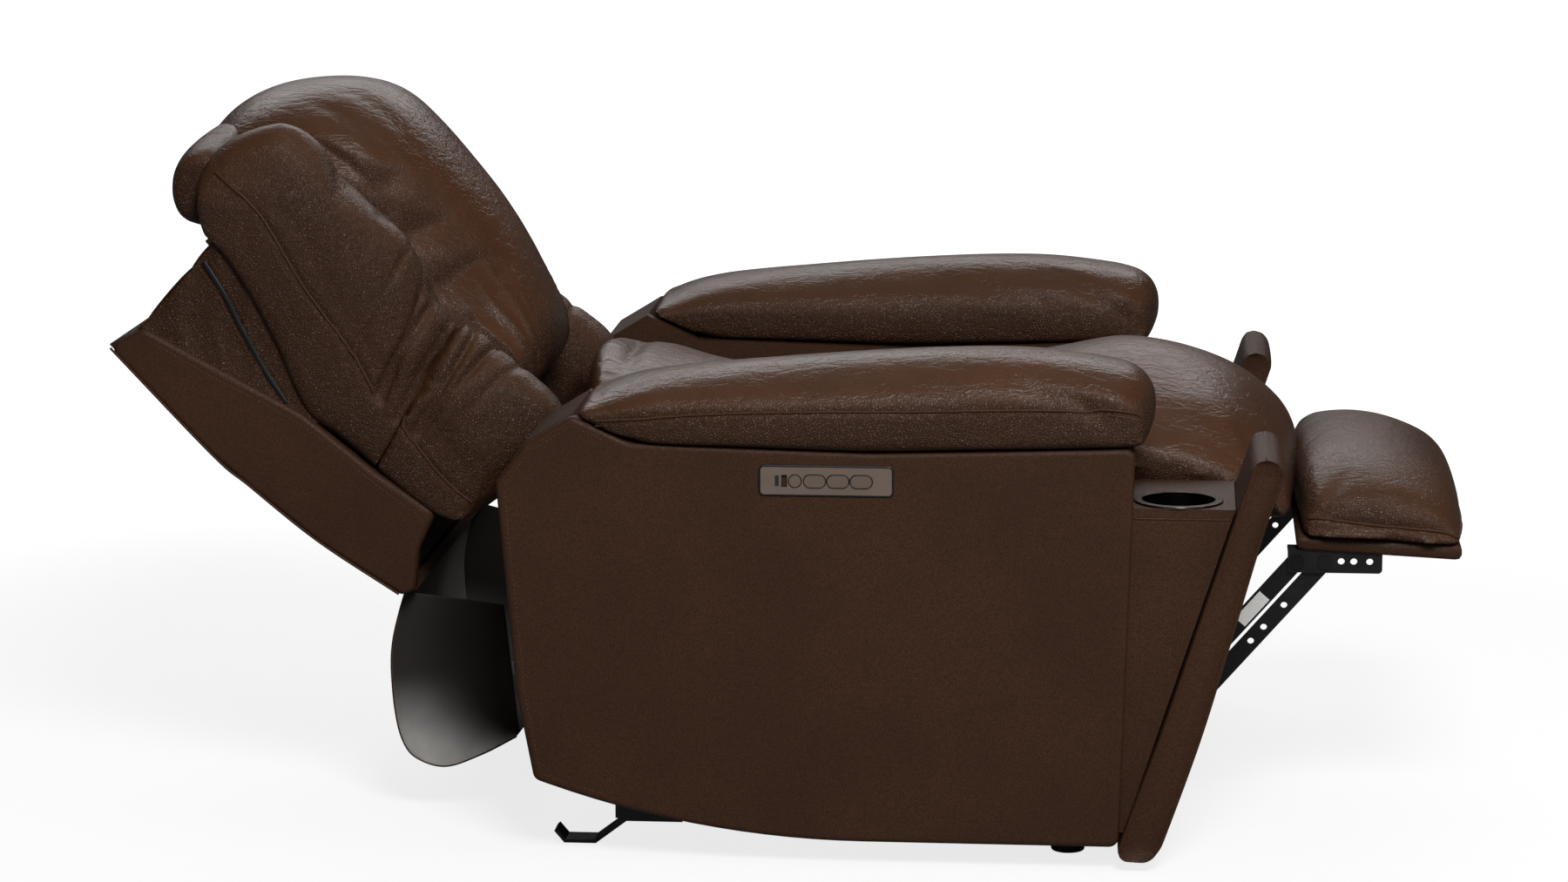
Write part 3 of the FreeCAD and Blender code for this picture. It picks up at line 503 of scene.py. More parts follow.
def node(tree, kind, links=None, **values):
    """A node with its settings and socket values, fed by the given sockets."""
    n = tree.nodes.new(kind)
    for key, value in values.items():
        if key.startswith("in_"):
            name = key[3:]
            n.inputs[int(name) if name.isdigit() else name.replace("_", " ")].default_value = value
        else:
            setattr(n, key, value)
    for socket, source in (links or {}).items():
        tree.links.new(source, n.inputs[socket])
    return n


def maths(tree, operation, a, b=None):
    """Output of a Math node whose operands are numbers or sockets."""
    n = node(tree, "ShaderNodeMath", operation=operation)
    for i, value in enumerate((a, b)):
        if isinstance(value, (int, float)):
            n.inputs[i].default_value = value
        elif value is not None:
            tree.links.new(value, n.inputs[i])
    return n.outputs[0]


def ramp(tree, value, low, high, to_low=0.0, to_high=1.0):
    """value taken from low..high to to_low..to_high, easing at both ends."""
    n = node(tree, "ShaderNodeMapRange", {"Value": value}, interpolation_type="SMOOTHSTEP",
             in_From_Min=low, in_From_Max=high, in_To_Min=to_low, in_To_Max=to_high)
    return n.outputs["Result"]


def milled_grain():
    """Height = smooth pebbles, low along the cell borders, with a fine pore noise on top."""
    t = bpy.data.node_groups.new("milled_grain", "ShaderNodeTree")
    group_sockets(t, [("Vector", "NodeSocketVector", None), ("Pebbles", "NodeSocketFloat", 430.0),
                      ("Strength", "NodeSocketFloat", 1.0)],
                  [("Height", "NodeSocketFloat"), ("Crease", "NodeSocketFloat")])
    i, o = t.nodes.new("NodeGroupInput"), t.nodes.new("NodeGroupOutput")
    warp = node(t, "ShaderNodeTexNoise", {"Vector": i.outputs["Vector"]}, in_Scale=120.0, in_Detail=2.0)
    shift = node(t, "ShaderNodeVectorMath", {0: warp.outputs["Color"]}, operation="SCALE",
                 in_Scale=0.004)
    moved = node(t, "ShaderNodeVectorMath", {0: i.outputs["Vector"], 1: shift.outputs[0]},
                 operation="ADD")
    cells = node(t, "ShaderNodeTexVoronoi", {"Vector": moved.outputs[0], "Scale": i.outputs["Pebbles"]},
                 feature="DISTANCE_TO_EDGE", in_Randomness=0.95)
    border = ramp(t, cells.outputs["Distance"], 0.0, 0.32)
    fine_scale = maths(t, "MULTIPLY", i.outputs["Pebbles"], 3.7)
    fine = node(t, "ShaderNodeTexNoise", {"Vector": i.outputs["Vector"], "Scale": fine_scale},
                in_Detail=2.0)
    pores = maths(t, "MULTIPLY", fine.outputs["Fac"], 0.35)
    height = maths(t, "MULTIPLY", maths(t, "ADD", border, pores), i.outputs["Strength"])
    crease = maths(t, "MULTIPLY", maths(t, "SUBTRACT", 1.0, border), i.outputs["Strength"])
    t.links.new(height, o.inputs["Height"])
    t.links.new(crease, o.inputs["Crease"])
    return t


def hand_creases():
    """Height of long shallow creases: 1 minus the size of a stretched noise about its middle."""
    t = bpy.data.node_groups.new("hand_creases", "ShaderNodeTree")
    group_sockets(t, [("Vector", "NodeSocketVector", None), ("Scale", "NodeSocketFloat", 60.0)],
                  [("Height", "NodeSocketFloat"), ("Cloud", "NodeSocketFloat")])
    i, o = t.nodes.new("NodeGroupInput"), t.nodes.new("NodeGroupOutput")
    turned = node(t, "ShaderNodeMapping", {"Vector": i.outputs["Vector"]}, in_Rotation=(0.5, 0.0, 0.0),
                  in_Scale=(1.0, 0.45, 1.5))
    n = node(t, "ShaderNodeTexNoise", {"Vector": turned.outputs[0], "Scale": i.outputs["Scale"]},
             in_Detail=3.0, in_Roughness=0.6, in_Distortion=0.4)
    off = maths(t, "ABSOLUTE", maths(t, "SUBTRACT", n.outputs["Fac"], 0.5))
    line = ramp(t, off, 0.0, 0.09)
    cloud = node(t, "ShaderNodeTexNoise", {"Vector": i.outputs["Vector"]}, in_Scale=9.0, in_Detail=4.0)
    t.links.new(line, o.inputs["Height"])
    t.links.new(cloud.outputs["Fac"], o.inputs["Cloud"])
    return t


GRAIN, CREASES = milled_grain(), hand_creases()
print("Groups:", GRAIN.name, CREASES.name)

# %% [markdown]
# The leathers differ only in how strongly they are grained. Sides of cushions are heavily
# milled, panels and wrapped boards are pulled flat and almost smooth. The colour is a dark
# chocolate, a little redder where the dye is thin and darker inside the creases.

# %% Leather materials
DARK, WARM = (0.052, 0.0205, 0.0085, 1.0), (0.104, 0.0415, 0.0175, 1.0)


def leather(name, pebbles, relief, crease_relief, roughness, by_attribute, tint=1.0, coat=0.0):
    """Dyed leather: pebbles per metre, depths of grain and hand creases in millimetres.

    Colour goes from 0.4 dark + 0.6 warm to warm with a broad cloud, and halves in the creases.
    """
    m = bpy.data.materials.new(name)
    m.use_nodes = True
    t = m.node_tree
    shader = t.nodes["Principled BSDF"]
    where = t.nodes.new("ShaderNodeTexCoord").outputs["Object"]
    grain = node(t, "ShaderNodeGroup", {"Vector": where}, node_tree=GRAIN, in_Pebbles=pebbles)
    if by_attribute:
        strength = t.nodes.new("ShaderNodeAttribute")
        strength.attribute_name = "grain"
        t.links.new(strength.outputs["Fac"], grain.inputs["Strength"])
    creases = node(t, "ShaderNodeGroup", {"Vector": where}, node_tree=CREASES, in_Scale=42.0)
    cloud = ramp(t, creases.outputs["Cloud"], 0.3, 0.7)
    dark, warm = (tuple(c * tint for c in k[:3]) + (1.0,) for k in (DARK, WARM))
    colour = node(t, "ShaderNodeMix", {"Factor": cloud}, data_type="RGBA")
    colour.inputs[6].default_value = tuple(0.6 * w + 0.4 * d for w, d in zip(warm, dark))
    colour.inputs[7].default_value = warm
    # Colour darker inside the grain's creases, by the crease mask.
    crease_darkened = node(t, "ShaderNodeMix", {"Factor": maths(t, "MULTIPLY", grain.outputs["Crease"], 0.75)},
                data_type="RGBA")
    t.links.new(colour.outputs[2], crease_darkened.inputs[6])
    crease_darkened.inputs[7].default_value = tuple(0.5 * c for c in dark[:3]) + (1.0,)
    t.links.new(crease_darkened.outputs[2], shader.inputs["Base Color"])
    rough = maths(t, "ADD", maths(t, "MULTIPLY", grain.outputs["Crease"], 0.22),
                  maths(t, "MULTIPLY", cloud, 0.06))
    rough = maths(t, "ADD", rough, roughness)
    t.links.new(rough, shader.inputs["Roughness"])
    shader.inputs["Specular IOR Level"].default_value = 0.30
    shader.inputs["Coat Weight"].default_value = coat
    shader.inputs["Coat Roughness"].default_value = 0.30
    long = node(t, "ShaderNodeBump", {"Height": creases.outputs["Height"]}, in_Strength=0.5,
                in_Distance=crease_relief / 1000)
    bump = node(t, "ShaderNodeBump", {"Height": grain.outputs["Height"], "Normal": long.outputs[0]},
                in_Strength=1.0, in_Distance=relief / 1000)
    t.links.new(bump.outputs[0], shader.inputs["Normal"])
    t.links.new(bump.outputs[0], shader.inputs["Coat Normal"])
    return m


CUSHION = leather("milled_leather", 330.0, 0.85, 0.70, 0.30, True, coat=0.12)
PANEL = leather("panel_leather", 480.0, 0.05, 0.10, 0.43, False)
WRAP = leather("wrapped_leather", 450.0, 0.08, 0.20, 0.41, False)
WELT = leather("welt_leather", 700.0, 0.10, 0.0, 0.38, False, tint=1.15)
print("Leathers:", [m.name for m in (CUSHION, PANEL, WRAP, WELT)])

# %% [markdown]
# Painted steel, anodised bronze, moulded plastic, thread, lining and plywood are simpler:
# one noise for unevenness in colour and gloss, another for the surface.

# %% Other finishes


def finish(name, colour, rough, metallic=0.0, spread=0.15, scale=30.0, relief=0.05, fine=900.0,
           coat=0.0, emission=None):
    """Colour is dark to light by spread, roughness wanders by 0.08, relief is in millimetres. An emission
    colour makes the part glow: painted light.
    """
    m = bpy.data.materials.new(name)
    m.use_nodes = True
    t = m.node_tree
    shader = t.nodes["Principled BSDF"]
    where = t.nodes.new("ShaderNodeTexCoord").outputs["Object"]
    broad = node(t, "ShaderNodeTexNoise", {"Vector": where}, in_Scale=scale, in_Detail=4.0)
    mix = node(t, "ShaderNodeMix", {"Factor": ramp(t, broad.outputs["Fac"], 0.3, 0.7)},
               data_type="RGBA")
    mix.inputs[6].default_value = tuple(c * (1 - spread) for c in colour) + (1.0,)
    mix.inputs[7].default_value = tuple(min(1.0, c * (1 + spread)) for c in colour) + (1.0,)
    t.links.new(mix.outputs[2], shader.inputs["Base Color"])
    t.links.new(ramp(t, broad.outputs["Fac"], 0.25, 0.75, rough - 0.04, rough + 0.04),
                shader.inputs["Roughness"])
    shader.inputs["Metallic"].default_value = metallic
    shader.inputs["Coat Weight"].default_value = coat
    grit = node(t, "ShaderNodeTexNoise", {"Vector": where}, in_Scale=fine, in_Detail=2.0)
    bump = node(t, "ShaderNodeBump", {"Height": grit.outputs["Fac"]}, in_Strength=0.6,
                in_Distance=relief / 1000)
    t.links.new(bump.outputs[0], shader.inputs["Normal"])
    if emission:
        shader.inputs["Emission Color"].default_value = (*emission, 1.0)
        shader.inputs["Emission Strength"].default_value = 0.4
    return m


THREAD = finish("thread", (0.17, 0.075, 0.038), 0.6, spread=0.25, scale=300.0)
LINING = finish("lining_cloth", (0.46, 0.44, 0.42), 0.9, spread=0.08, relief=0.25, fine=1600.0)


# Near black of the painted shade on the lining, where the inside of the chair lies in shadow.
DEEP_SHADE = (0.017, 0.012, 0.009, 1.0)


def shaded_cloth():
    """Lining with painted shade: it darkens by the attribute shade, from its own grey to near black."""
    m = LINING.copy()
    m.name = "shaded_lining"
    t = m.node_tree
    shader = t.nodes["Principled BSDF"]
    source = shader.inputs["Base Color"].links[0].from_socket
    shade = t.nodes.new("ShaderNodeAttribute")
    shade.attribute_name = "shade"
    mix = node(t, "ShaderNodeMix", {"Factor": shade.outputs["Fac"]}, data_type="RGBA")
    t.links.new(source, mix.inputs[6])
    mix.inputs[7].default_value = DEEP_SHADE
    t.links.new(mix.outputs[2], shader.inputs["Base Color"])
    return m


SHADED = shaded_cloth()
FINISHES = {
    "wrapped_board": WRAP,
    "leather": WRAP,
    "frame_steel": finish("black_steel", (0.0075, 0.0075, 0.008), 0.42, spread=0.3, relief=0.06),
    "spring_steel": finish("spring_steel", (0.30, 0.30, 0.31), 0.35, metallic=1.0),
    "pin_steel": finish("pin_steel", (0.016, 0.016, 0.017), 0.36, metallic=0.5, spread=0.3),
    "plywood": finish("plywood", (0.36, 0.22, 0.11), 0.6, spread=0.3, scale=14.0, relief=0.15),
    "cup_metal": finish("cup_metal", (0.12, 0.11, 0.10), 0.22, metallic=1.0, spread=0.1, relief=0.01),
    "bronze_trim": finish("bronze_trim", (0.255, 0.190, 0.152), 0.42, metallic=0.25, relief=0.02,
                          spread=0.06),
    "bronze_button": finish("bronze_button", (0.240, 0.178, 0.145), 0.36, metallic=0.3, relief=0.02,
                            spread=0.06),
    "black_plastic": finish("black_plastic", (0.010, 0.010, 0.010), 0.40, relief=0.04),
    "light_window": finish("light_window", (0.02, 0.02, 0.022), 0.15, relief=0.0, coat=0.4),
    # The label glows a little: painted light, so that it reads pale in the shade under the link.
    "paper_label": finish("plain_label", (0.80, 0.79, 0.76), 0.6, relief=0.03, spread=0.03,
                          emission=(0.5, 0.5, 0.48)),
}
for row in frame["record"]["subparts"]:
    cad = frame["nodes"][row["node"]]
    for s in cad.material_slots:
        s.link = "OBJECT"
        s.material = FINISHES[row["material_slot"]]
print("Finishes:", sorted(FINISHES))

# %% [markdown]
# ## Registering pieces
# Each new piece says which body carries it and which solids of the model it stands for. Pieces that come in
# pairs are made on the sitter's left and mirrored.

# %% Bodies and attributes


def attribute(obj, name, values):
    """Stores one number for each vertex, under a name that a material can read."""
    a = obj.data.attributes.get(name) or obj.data.attributes.new(name, "FLOAT", "POINT")
    a.data.foreach_set("value", np.ravel(values).astype(np.float32))


def grain_by_slope(obj, low=0.25, level=0.75):
    """Attribute grain: 1 where the cover faces sideways or down, low where it faces up."""
    up = normals(obj)[:, 2]
    share = np.clip((up - 0.2) / (level - 0.2), 0, 1)
    attribute(obj, "grain", 1.0 + (low - 1.0) * share * share * (3 - 2 * share))


def cushion(obj, body, nodes):
    """Registers a stuffed piece: what it rides on and what it replaces."""
    if body:
        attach(obj, body)
    if nodes:
        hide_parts(*nodes)
    print(obj.name, len(obj.data.polygons), "faces")


def trim(obj, body):
    """Registers a small or flat piece that is not stuffed."""
    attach(obj, body)


def trim_both(obj, body):
    """Mirrors a small piece and registers both."""
    trim(mirrored(obj), body)
    trim(obj, body)


def bend_at_head(obj):
    """Bakes the piece's placement into its mesh."""
    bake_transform(obj)


def even_section(half):
    """Closed section from its (x, height) points at negative x: them, the top, their mirror, the foot."""
    return half + [(0, 1)] + [(-x, h) for x, h in half[::-1]] + [(0, 0)]


# %% [markdown]
# ## Seat cushion
# The seat is one deep cushion. Its crown is highest behind the front roll, dips where the
# sitter sits, falls away to both arms, and rolls over the front edge down to the frame. The
# sections are lower at the sides near the front, where the cover is drawn down to the frame.

# %% Seat cushion
seat_base = [(-196, 378), (-150, 375), (0, 374), (300, 374), (560, 374), (668, 376)]
seat_crown = [(-196, 378), (-212, 392), (-219, 425), (-214, 455), (-191, 483), (-136, 519), (-60, 541),
              (10, 543), (90, 527), (200, 506), (340, 496), (470, 497), (560, 513), (612, 536), (648, 545),
              (668, 530), (676, 490), (674, 430), (668, 376)]
front = even_section([(-250, .02), (-262, .22), (-284, .36), (-290, .46), (-262, .66), (-150, .88)])
middle = even_section([(-288, .02), (-296, .25), (-295, .46), (-276, .60), (-180, .83)])
seat = skin("seat_cushion_leather", loft(seat_base, seat_crown, [front, front, middle, middle],
                                         [0, .24, .40, 1], 150, 120), CUSHION)
stuffed(seat, 8.5, 16, lambda x, y, z: ((z < 388) | (y > 640)).astype(float), slack=5, rounds=8)
grain_by_slope(seat, low=0.10, level=0.6)
cushion(seat, "base", ["seat_cushion"])

# %% [markdown]
# ## Footrest cushion
# A padded top is sewn to an upright band, the boxing, with a welt along the seam. Below it
# the wrapped board shows as a second, narrower band.

# %% Footrest cushion
foot_base = [(-214, 358), (-260, 356), (-330, 353), (-404, 349)]
foot_crown = [(-214, 358), (-207, 385), (-208, 425), (-222, 443), (-271, 450), (-326, 444),
              (-379, 423), (-403, 400), (-412, 378), (-409, 362), (-404, 349)]
wide = even_section([(-268, .01), (-270, .12), (-272, .24), (-275, .33), (-269, .47), (-240, .70),
                     (-150, .93)])
foot = skin("footrest_cushion_leather",
            loft(foot_base, foot_crown, [wide, wide], [0, 1], 90, 110), CUSHION)
stuffed(foot, 6.0, 12, lambda x, y, z: (z < 360 + 0.12 * (y + 402)).astype(float), slack=3, rounds=6)
foot_seam = at_x(-274, [(-214, 387), (-240, 382), (-280, 376), (-340, 371), (-384, 368), (-404, 367)])
foot_front = [(-264, -411, 366), (-200, -412, 365), (0, -412, 365), (200, -412, 365), (264, -411, 366)]
round_foot = curve(np.vstack([foot_seam, foot_front, foot_seam[::-1] * (-1, 1, 1)]), 500)
dent(foot, round_foot, 2.6, 4.0)
grain_by_slope(foot, low=0.25)
path, up = laid(foot, round_foot, 420)
cushion(foot, "footrest", ["footrest_cushion"])
band = rounded([(-404, 331, 6), (-207, 341, 6), (-207, 357, 4), (-404, 349.5, 4)], 6.0)
board = skin("footrest_board_leather", np.stack([
    at_x(x, inset(band, d)) for d, x in ((3, -268), (0, -265), (0, 265), (3, 268))]), WRAP)
trim(board, "footrest")
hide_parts("footrest_board")
trim(tube("footrest_welt", path + up * 0.0010, up, 1.9, WELT), "footrest")
trim(stitches("footrest_stitches", path, up, 5.0, THREAD, side=-4.5), "footrest")

# %% [markdown]
# ## Arm pads
# Each arm pad wraps over the arm from the seat side to just beyond the outer panel, so it
# casts a shadow line on the panel. A lapped seam runs along its outer side with a row of
# topstitching under it.

# %% Arm pads
arm_base = [(-26, 503), (20, 501), (150, 497), (289, 493), (430, 496), (570, 502), (632, 530)]
arm_crown = [(-26, 503), (-38, 520), (-41, 548), (-31, 573), (-4, 589), (60, 597), (143, 600), (300, 592),
             (420, 583), (501, 577), (562, 570), (600, 560), (624, 547), (634, 531)]
pad = [(310, .02), (303, .22), (304, .50), (318, .78), (358, .96), (407, 1), (456, .96), (492, .80),
       (508, .60), (511, .44), (510, .25), (503, .02), (407, 0)]
tip = [(312, .02), (305, .22), (306, .45), (320, .70), (360, .92), (407, 1), (456, .92), (490, .74),
       (504, .56), (508, .42), (507, .25), (500, .02), (407, 0)]
arm = skin("arm_pad_left_leather",
           loft(arm_base, arm_crown, [tip, pad, pad, tip], [0, .15, .85, 1], 150, 90), CUSHION)
stuffed(arm, 6.5, 12, lambda x, y, z: (z < 506).astype(float) * (y < 560) + (y > 618), slack=3, rounds=9)
arm_seam = curve(at_x(510, [(-34, 548), (0, 548), (80, 548), (200, 545), (289, 543), (400, 541),
                            (500, 536), (560, 530), (610, 527)]), 500)
dent(arm, arm_seam, 2.8, 3.6)
grain_by_slope(arm, low=0.12, level=0.65)
path, up = laid(arm, arm_seam, 420)
seams = [tube("arm_seam_left", path + up * 0.0008, up, 1.7, WELT),
         stitches("arm_stitches_left", path, up, 5.2, THREAD, side=6.0)]
right_arm = mirrored(arm)
cushion(arm, "base", ["arm_pad_left"])
cushion(right_arm, "base", ["arm_pad_right"])
for piece in seams:
    trim_both(piece, "base")

# %% [markdown]
# ## Outer panels
# The panels are plywood wrapped in pulled leather: flat faces with soft rims. A closed side
# outline is carried round the rim in rings, each ring moved inwards along the outline's
# mitred normals while it climbs outwards on a quarter circle.

# %% Wrapped panels


def panel(name, corners, x_in, x_out, rim, material):
    """Wrapped panel between x_in and x_out, with a rim of the given radius on its outer face."""
    loop = rounded(corners)
    a = np.linspace(0, np.pi / 2, 6)
    steps = [(0.8, x_in), (0.0, x_in + 0.8)]
    steps += [(rim * (1 - np.cos(k)), x_out - rim + rim * np.sin(k)) for k in a]
    steps += [(rim + 2.5, x_out), (rim + 4.5, x_out)]
    print(name, "outline of", len(loop), "points")
    return skin(name, np.stack([at_x(x, inset(loop, d)) for d, x in steps]), material)


side = [(-1, 29, 12), (487, 29.5, 1150), (685, 97, 12), (704, 197, 60), (727, 450, 12), (693, 496, 14),
        (637, 531, 12), (569, 500, 40), (289, 492, 500), (-15, 501, 12)]
left_panel = panel("side_panel_left_leather", side, 482, 500, 6, PANEL)
for piece, cad in ((left_panel, "side_panel_left"), (mirrored(left_panel), "side_panel_right")):
    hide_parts(cad)
    trim(piece, "base")

# A row of stitching follows the panel's rear edge and its sloping top corner.
edge = inset(rounded(side), 10.0)
rear = edge[(edge[:, 0] > 600)]
rear = rear[np.argsort(np.arctan2(rear[:, 1] - 300, rear[:, 0] - 400))]
path = metres(evenly(at_x(500.2, rear), 300))
trim_both(stitches("panel_stitches_left", path, facing(1.0, 300), 5.5, THREAD, radius=0.35), "base")

# %% [markdown]
# ## Front posts
# A thick padded board stands in front of each arm and carries the cup holder between itself
# and the arm. Its leather has a stitched seam along each long edge of the outer side.

# %% Front posts
post_base = [(-20, 12.5), (-6, 14), (1, 24), (-6, 50), (-49, 173), (-103, 340), (-140, 455), (-151, 484),
             (-163, 490)]
post_crown = [(-20, 12.5), (-36, 13.5), (-49, 24), (-60, 50), (-97, 160), (-131, 280), (-164, 400),
              (-182, 455), (-187, 474), (-180, 486), (-166, 490.5)]
post_section = [(306, .03), (301, .16), (300.4, .5), (301, .84), (306, .97), (400, 1.0), (494, .97),
                (499, .84), (499.6, .5), (499, .16), (494, .03), (400, 0)]
post = skin("front_post_left_leather",
            loft(post_base, post_crown, [post_section] * 2, [0, 1], 150, 110), WRAP)
seams = []
for name, height, beside in (("rear", .10, -4.0), ("front", .90, 4.0)):
    line = line_on(post_base[2:8], post_crown[2:9], 499.5, height)
    dent(post, line, 2.0, 3.0)
    path, up = laid(post, line, 300)
    seams.append(tube(f"post_seam_left_{name}", path + up * 0.0004, up, 1.3, WELT))
    seams.append(stitches(f"post_stitches_left_{name}", path, up, 5.0, THREAD, side=beside))
right_post = mirrored(post)
cushion(post, "base", ["front_post_left"])
cushion(right_post, "base", ["front_post_right"])
for piece in seams:
    trim_both(piece, "base")

# %% [markdown]
# ## Middle cushion of the back
# One long pillow runs from the roll behind the head down to the seat. It stands for two solids on two
# bodies. Its lower end is gathered into pleats, and long folds run down both its sides.

# %% Middle cushion
mid_base = [(1118, 706), (1090, 700), (1058, 652), (1012, 584), (960, 548), (905, 530), (850, 505),
            (800, 486), (770, 482)]
mid_crown = [(1118, 706), (1148, 722), (1163, 756), (1158, 790), (1132, 832), (1091, 860), (1040, 875),
             (980, 879), (935, 872), (903, 856), (862, 812), (827, 763), (798, 719), (772, 675), (738, 618),
             (717, 582), (706, 548), (714, 512), (738, 488), (770, 482)]
mid = even_section([(-180, .04), (-192, .22), (-195, .45), (-187, .66), (-158, .84), (-85, .96)])
pillow = skin("middle_cushion_leather",
              loft(mid_base, mid_crown, [mid, mid], [0, 1], 170, 110), CUSHION)
stuffed(pillow, 7.5, 18,
        lambda x, y, z: (np.abs(x) < 185) * ((z - 500) * 0.9 < (y - 790) * 0.62 - 10).astype(float),
        slack=4, rounds=16)
ripple(pillow, lambda x, y, z: fade(z, 690, 560) * fade(y, 830, 770) * fade(np.abs(x), 20, 130),
       lambda x, y, z: 2 * np.pi * (x + 6 * np.sin(z / 40)) / 21, 2.2)
for line, depth, width in (
        ([(170, 1010, 824), (185, 930, 772), (189, 876, 716), (186, 830, 668)], 5.0, 9.0),
        ([(120, 1000, 864), (150, 920, 815), (166, 860, 757), (163, 812, 690)], 3.0, 13.0),
        ([(80, 960, 872), (112, 890, 822), (140, 830, 736), (150, 795, 670)], 1.6, 14.0)):
    for sign in (-1, 1):
        dent(pillow, curve(on_side(line, sign), 200), depth, width)
grain_by_slope(pillow, low=0.10, level=0.5)
cushion(pillow, None, ["lumbar_cushion", "headrest_cushion"])
bend_at_head(pillow)

# %% Roll behind the headrest
roll_profile = curve([(1163, 762), (1156, 796), (1132, 822), (1098, 828), (1076, 800), (1070, 752),
                      (1084, 716), (1106, 703), (1142, 711), (1158, 732)], 73, closed=True)[:-1]
across = np.linspace(-np.pi / 2, np.pi / 2, 61)
size = np.maximum(np.cos(across), 0.02) ** 0.28
centre = np.array([1118.0, 764.0])
rings = np.concatenate([
    np.broadcast_to((286 * np.sin(across))[:, None, None], (61, 72, 1)),
    centre + size[:, None, None] * (roll_profile - centre)[None]], axis=2)
roll = skin("headrest_roll_leather", rings, CUSHION)
stuffed(roll, 7.0, 8, lambda x, y, z: (y < 1100).astype(float), slack=2)
roll_fold = [(186, 1158, 738), (188, 1164, 764), (188, 1156, 798), (187, 1130, 824), (186, 1098, 830)]
for sign in (1, -1):
    dent(roll, curve(on_side(roll_fold, sign), 200), 6.0, 7.0)
grain_by_slope(roll, low=0.3, level=0.6)
cushion(roll, "headrest", [])

# %% [markdown]
# ## Side bolsters
# The bolster beside the pillow is sewn to a flat side face, and the seam between them shows
# as a lap with stitching. It is one cover from the top of the headrest to the fold at the
# waist, and a second stuffed piece goes on from there, behind the arm.

# %% Upper bolsters
OUTER = 8


def bolster_edge(x, y, z):
    """Half held on the flat faces, so that the cover is firm there but not rigid."""
    return 0.5 * (x > 328) + 0.5 * (x < 201)


def folds(obj, base, crown, section, rows):
    """Folds across a bolster, each (share of its length, lean in hundredths, depth, width).

    A fold runs over the section's first points, from lean hundredths before its share of the
    length to as many behind it.
    """
    b, c = curve(base, 100), curve(crown, 100)
    for share, lean, depth, width in rows:
        at = np.clip(int(share * 99) + lean * np.linspace(-1, 1, OUTER), 0, 99).astype(int)
        line = np.array([(x, *(b[i] + h * (c[i] - b[i]))) for (x, h), i in zip(section[:OUTER], at)])
        dent(obj, curve(line, 200), depth, width)


up_base = [(1102, 712), (1078, 690), (1052, 645), (1020, 578), (986, 497), (950, 469), (925, 449),
           (899, 426)]
up_crown = [(1102, 712), (1114, 745), (1118, 775), (1106, 802), (1079, 826), (1040, 842), (1007, 845),
            (970, 825), (934, 783), (895, 745), (861, 710), (842, 675), (828, 645), (812, 618), (800, 600)]
top = [(201, .05), (200, .45), (206, .80), (232, .96), (270, 1), (304, .97), (326, .88), (331, .60),
       (330, .05), (265, 0)]
high = [(201, .05), (200, .45), (206, .78), (230, .95), (266, 1), (298, .90), (321, .68), (331, .52),
        (330, .05), (265, 0)]
low = [(201, .05), (200, .45), (206, .78), (230, .95), (262, 1), (294, .88), (319, .60), (331, .37),
       (330, .05), (265, 0)]
upper = skin("upper_bolster_left_leather",
             loft(up_base, up_crown, [top, high, low], [0, .3, 1], 140, 90), CUSHION)
stuffed(upper, 6.0, 12, bolster_edge, slack=3, ease=0.004, rounds=5)
folds(upper, up_base, up_crown, low,
      [(.985, 0, 5.0, 7.0), (.935, -4, 7.5, 6.0), (.86, 5, 6.5, 6.5), (.80, -3, 3.0, 6.0)])
up_seam = curve(at_x(330.5, [(1097, 806), (1065, 775), (1029, 737), (979, 653), (926, 580),
                             (896, 528)]), 500)
dent(upper, up_seam, 3.0, 4.0)
grain_by_slope(upper, low=0.25, level=0.8)
path, up = laid(upper, up_seam, 300)
seams = [tube("upper_seam_left", path + up * 0.0008, up, 1.8, WELT),
         stitches("upper_stitches_left", path, up, 5.2, THREAD, side=-6.0)]
right_upper = mirrored(upper)
seams += [mirrored(piece) for piece in seams]
for piece, cads in ((upper, ["upper_bolsters", "headrest_wings"]), (right_upper, [])):
    cushion(piece, None, cads)
    bend_at_head(piece)
for piece in seams:
    bend_at_head(piece)

# %% Lower bolsters
low_base = [(901, 428), (864, 398), (834, 378), (806, 369), (784, 373)]
low_crown = [(801, 604), (779, 593), (749, 568), (715, 542), (688, 518), (674, 494), (677, 466), (708, 442),
             (744, 412), (784, 373)]
waist = [(201, .05), (200, .45), (206, .78), (228, .96), (262, 1), (296, .90), (320, .64), (331, .36),
         (330, .05), (265, 0)]
hip = [(201, .05), (200, .45), (206, .80), (226, .96), (256, 1), (292, .99), (308, .84), (322, .56),
       (331, .24), (330, .04), (265, 0)]
lower = skin("lower_bolster_left_leather",
             loft(low_base, low_crown, [waist, hip, hip], [0, .5, 1], 90, 90), CUSHION)
stuffed(lower, 6.0, 12, bolster_edge, slack=2, ease=0.004, rounds=4)
folds(lower, low_base, low_crown, waist, [(.07, 3, 7.0, 6.0), (.17, -4, 6.5, 6.0), (.28, -5, 3.5, 7.0)])
low_seam = curve(at_x(330.5, [(880, 512), (850, 470), (823, 434), (797, 408), (778, 394)]), 500)
dent(lower, low_seam, 3.0, 4.0)
grain_by_slope(lower, low=0.3, level=0.85)
path, up = laid(lower, low_seam, 200)
seams = [tube("lower_seam_left", path + up * 0.0008, up, 1.8, WELT),
         stitches("lower_stitches_left", path, up, 5.2, THREAD, side=-6.0)]
right_lower = mirrored(lower)
cushion(lower, "back", ["lower_bolsters"])
cushion(right_lower, "back", [])
for piece in seams:
    trim_both(piece, "back")

# %% [markdown]
# ## Shell of the back
# Behind the cushions the back is a wrapped shell. Its side has soft rims, a thin welt down
# the rear edge, and two rows of stitching along its upper edge.

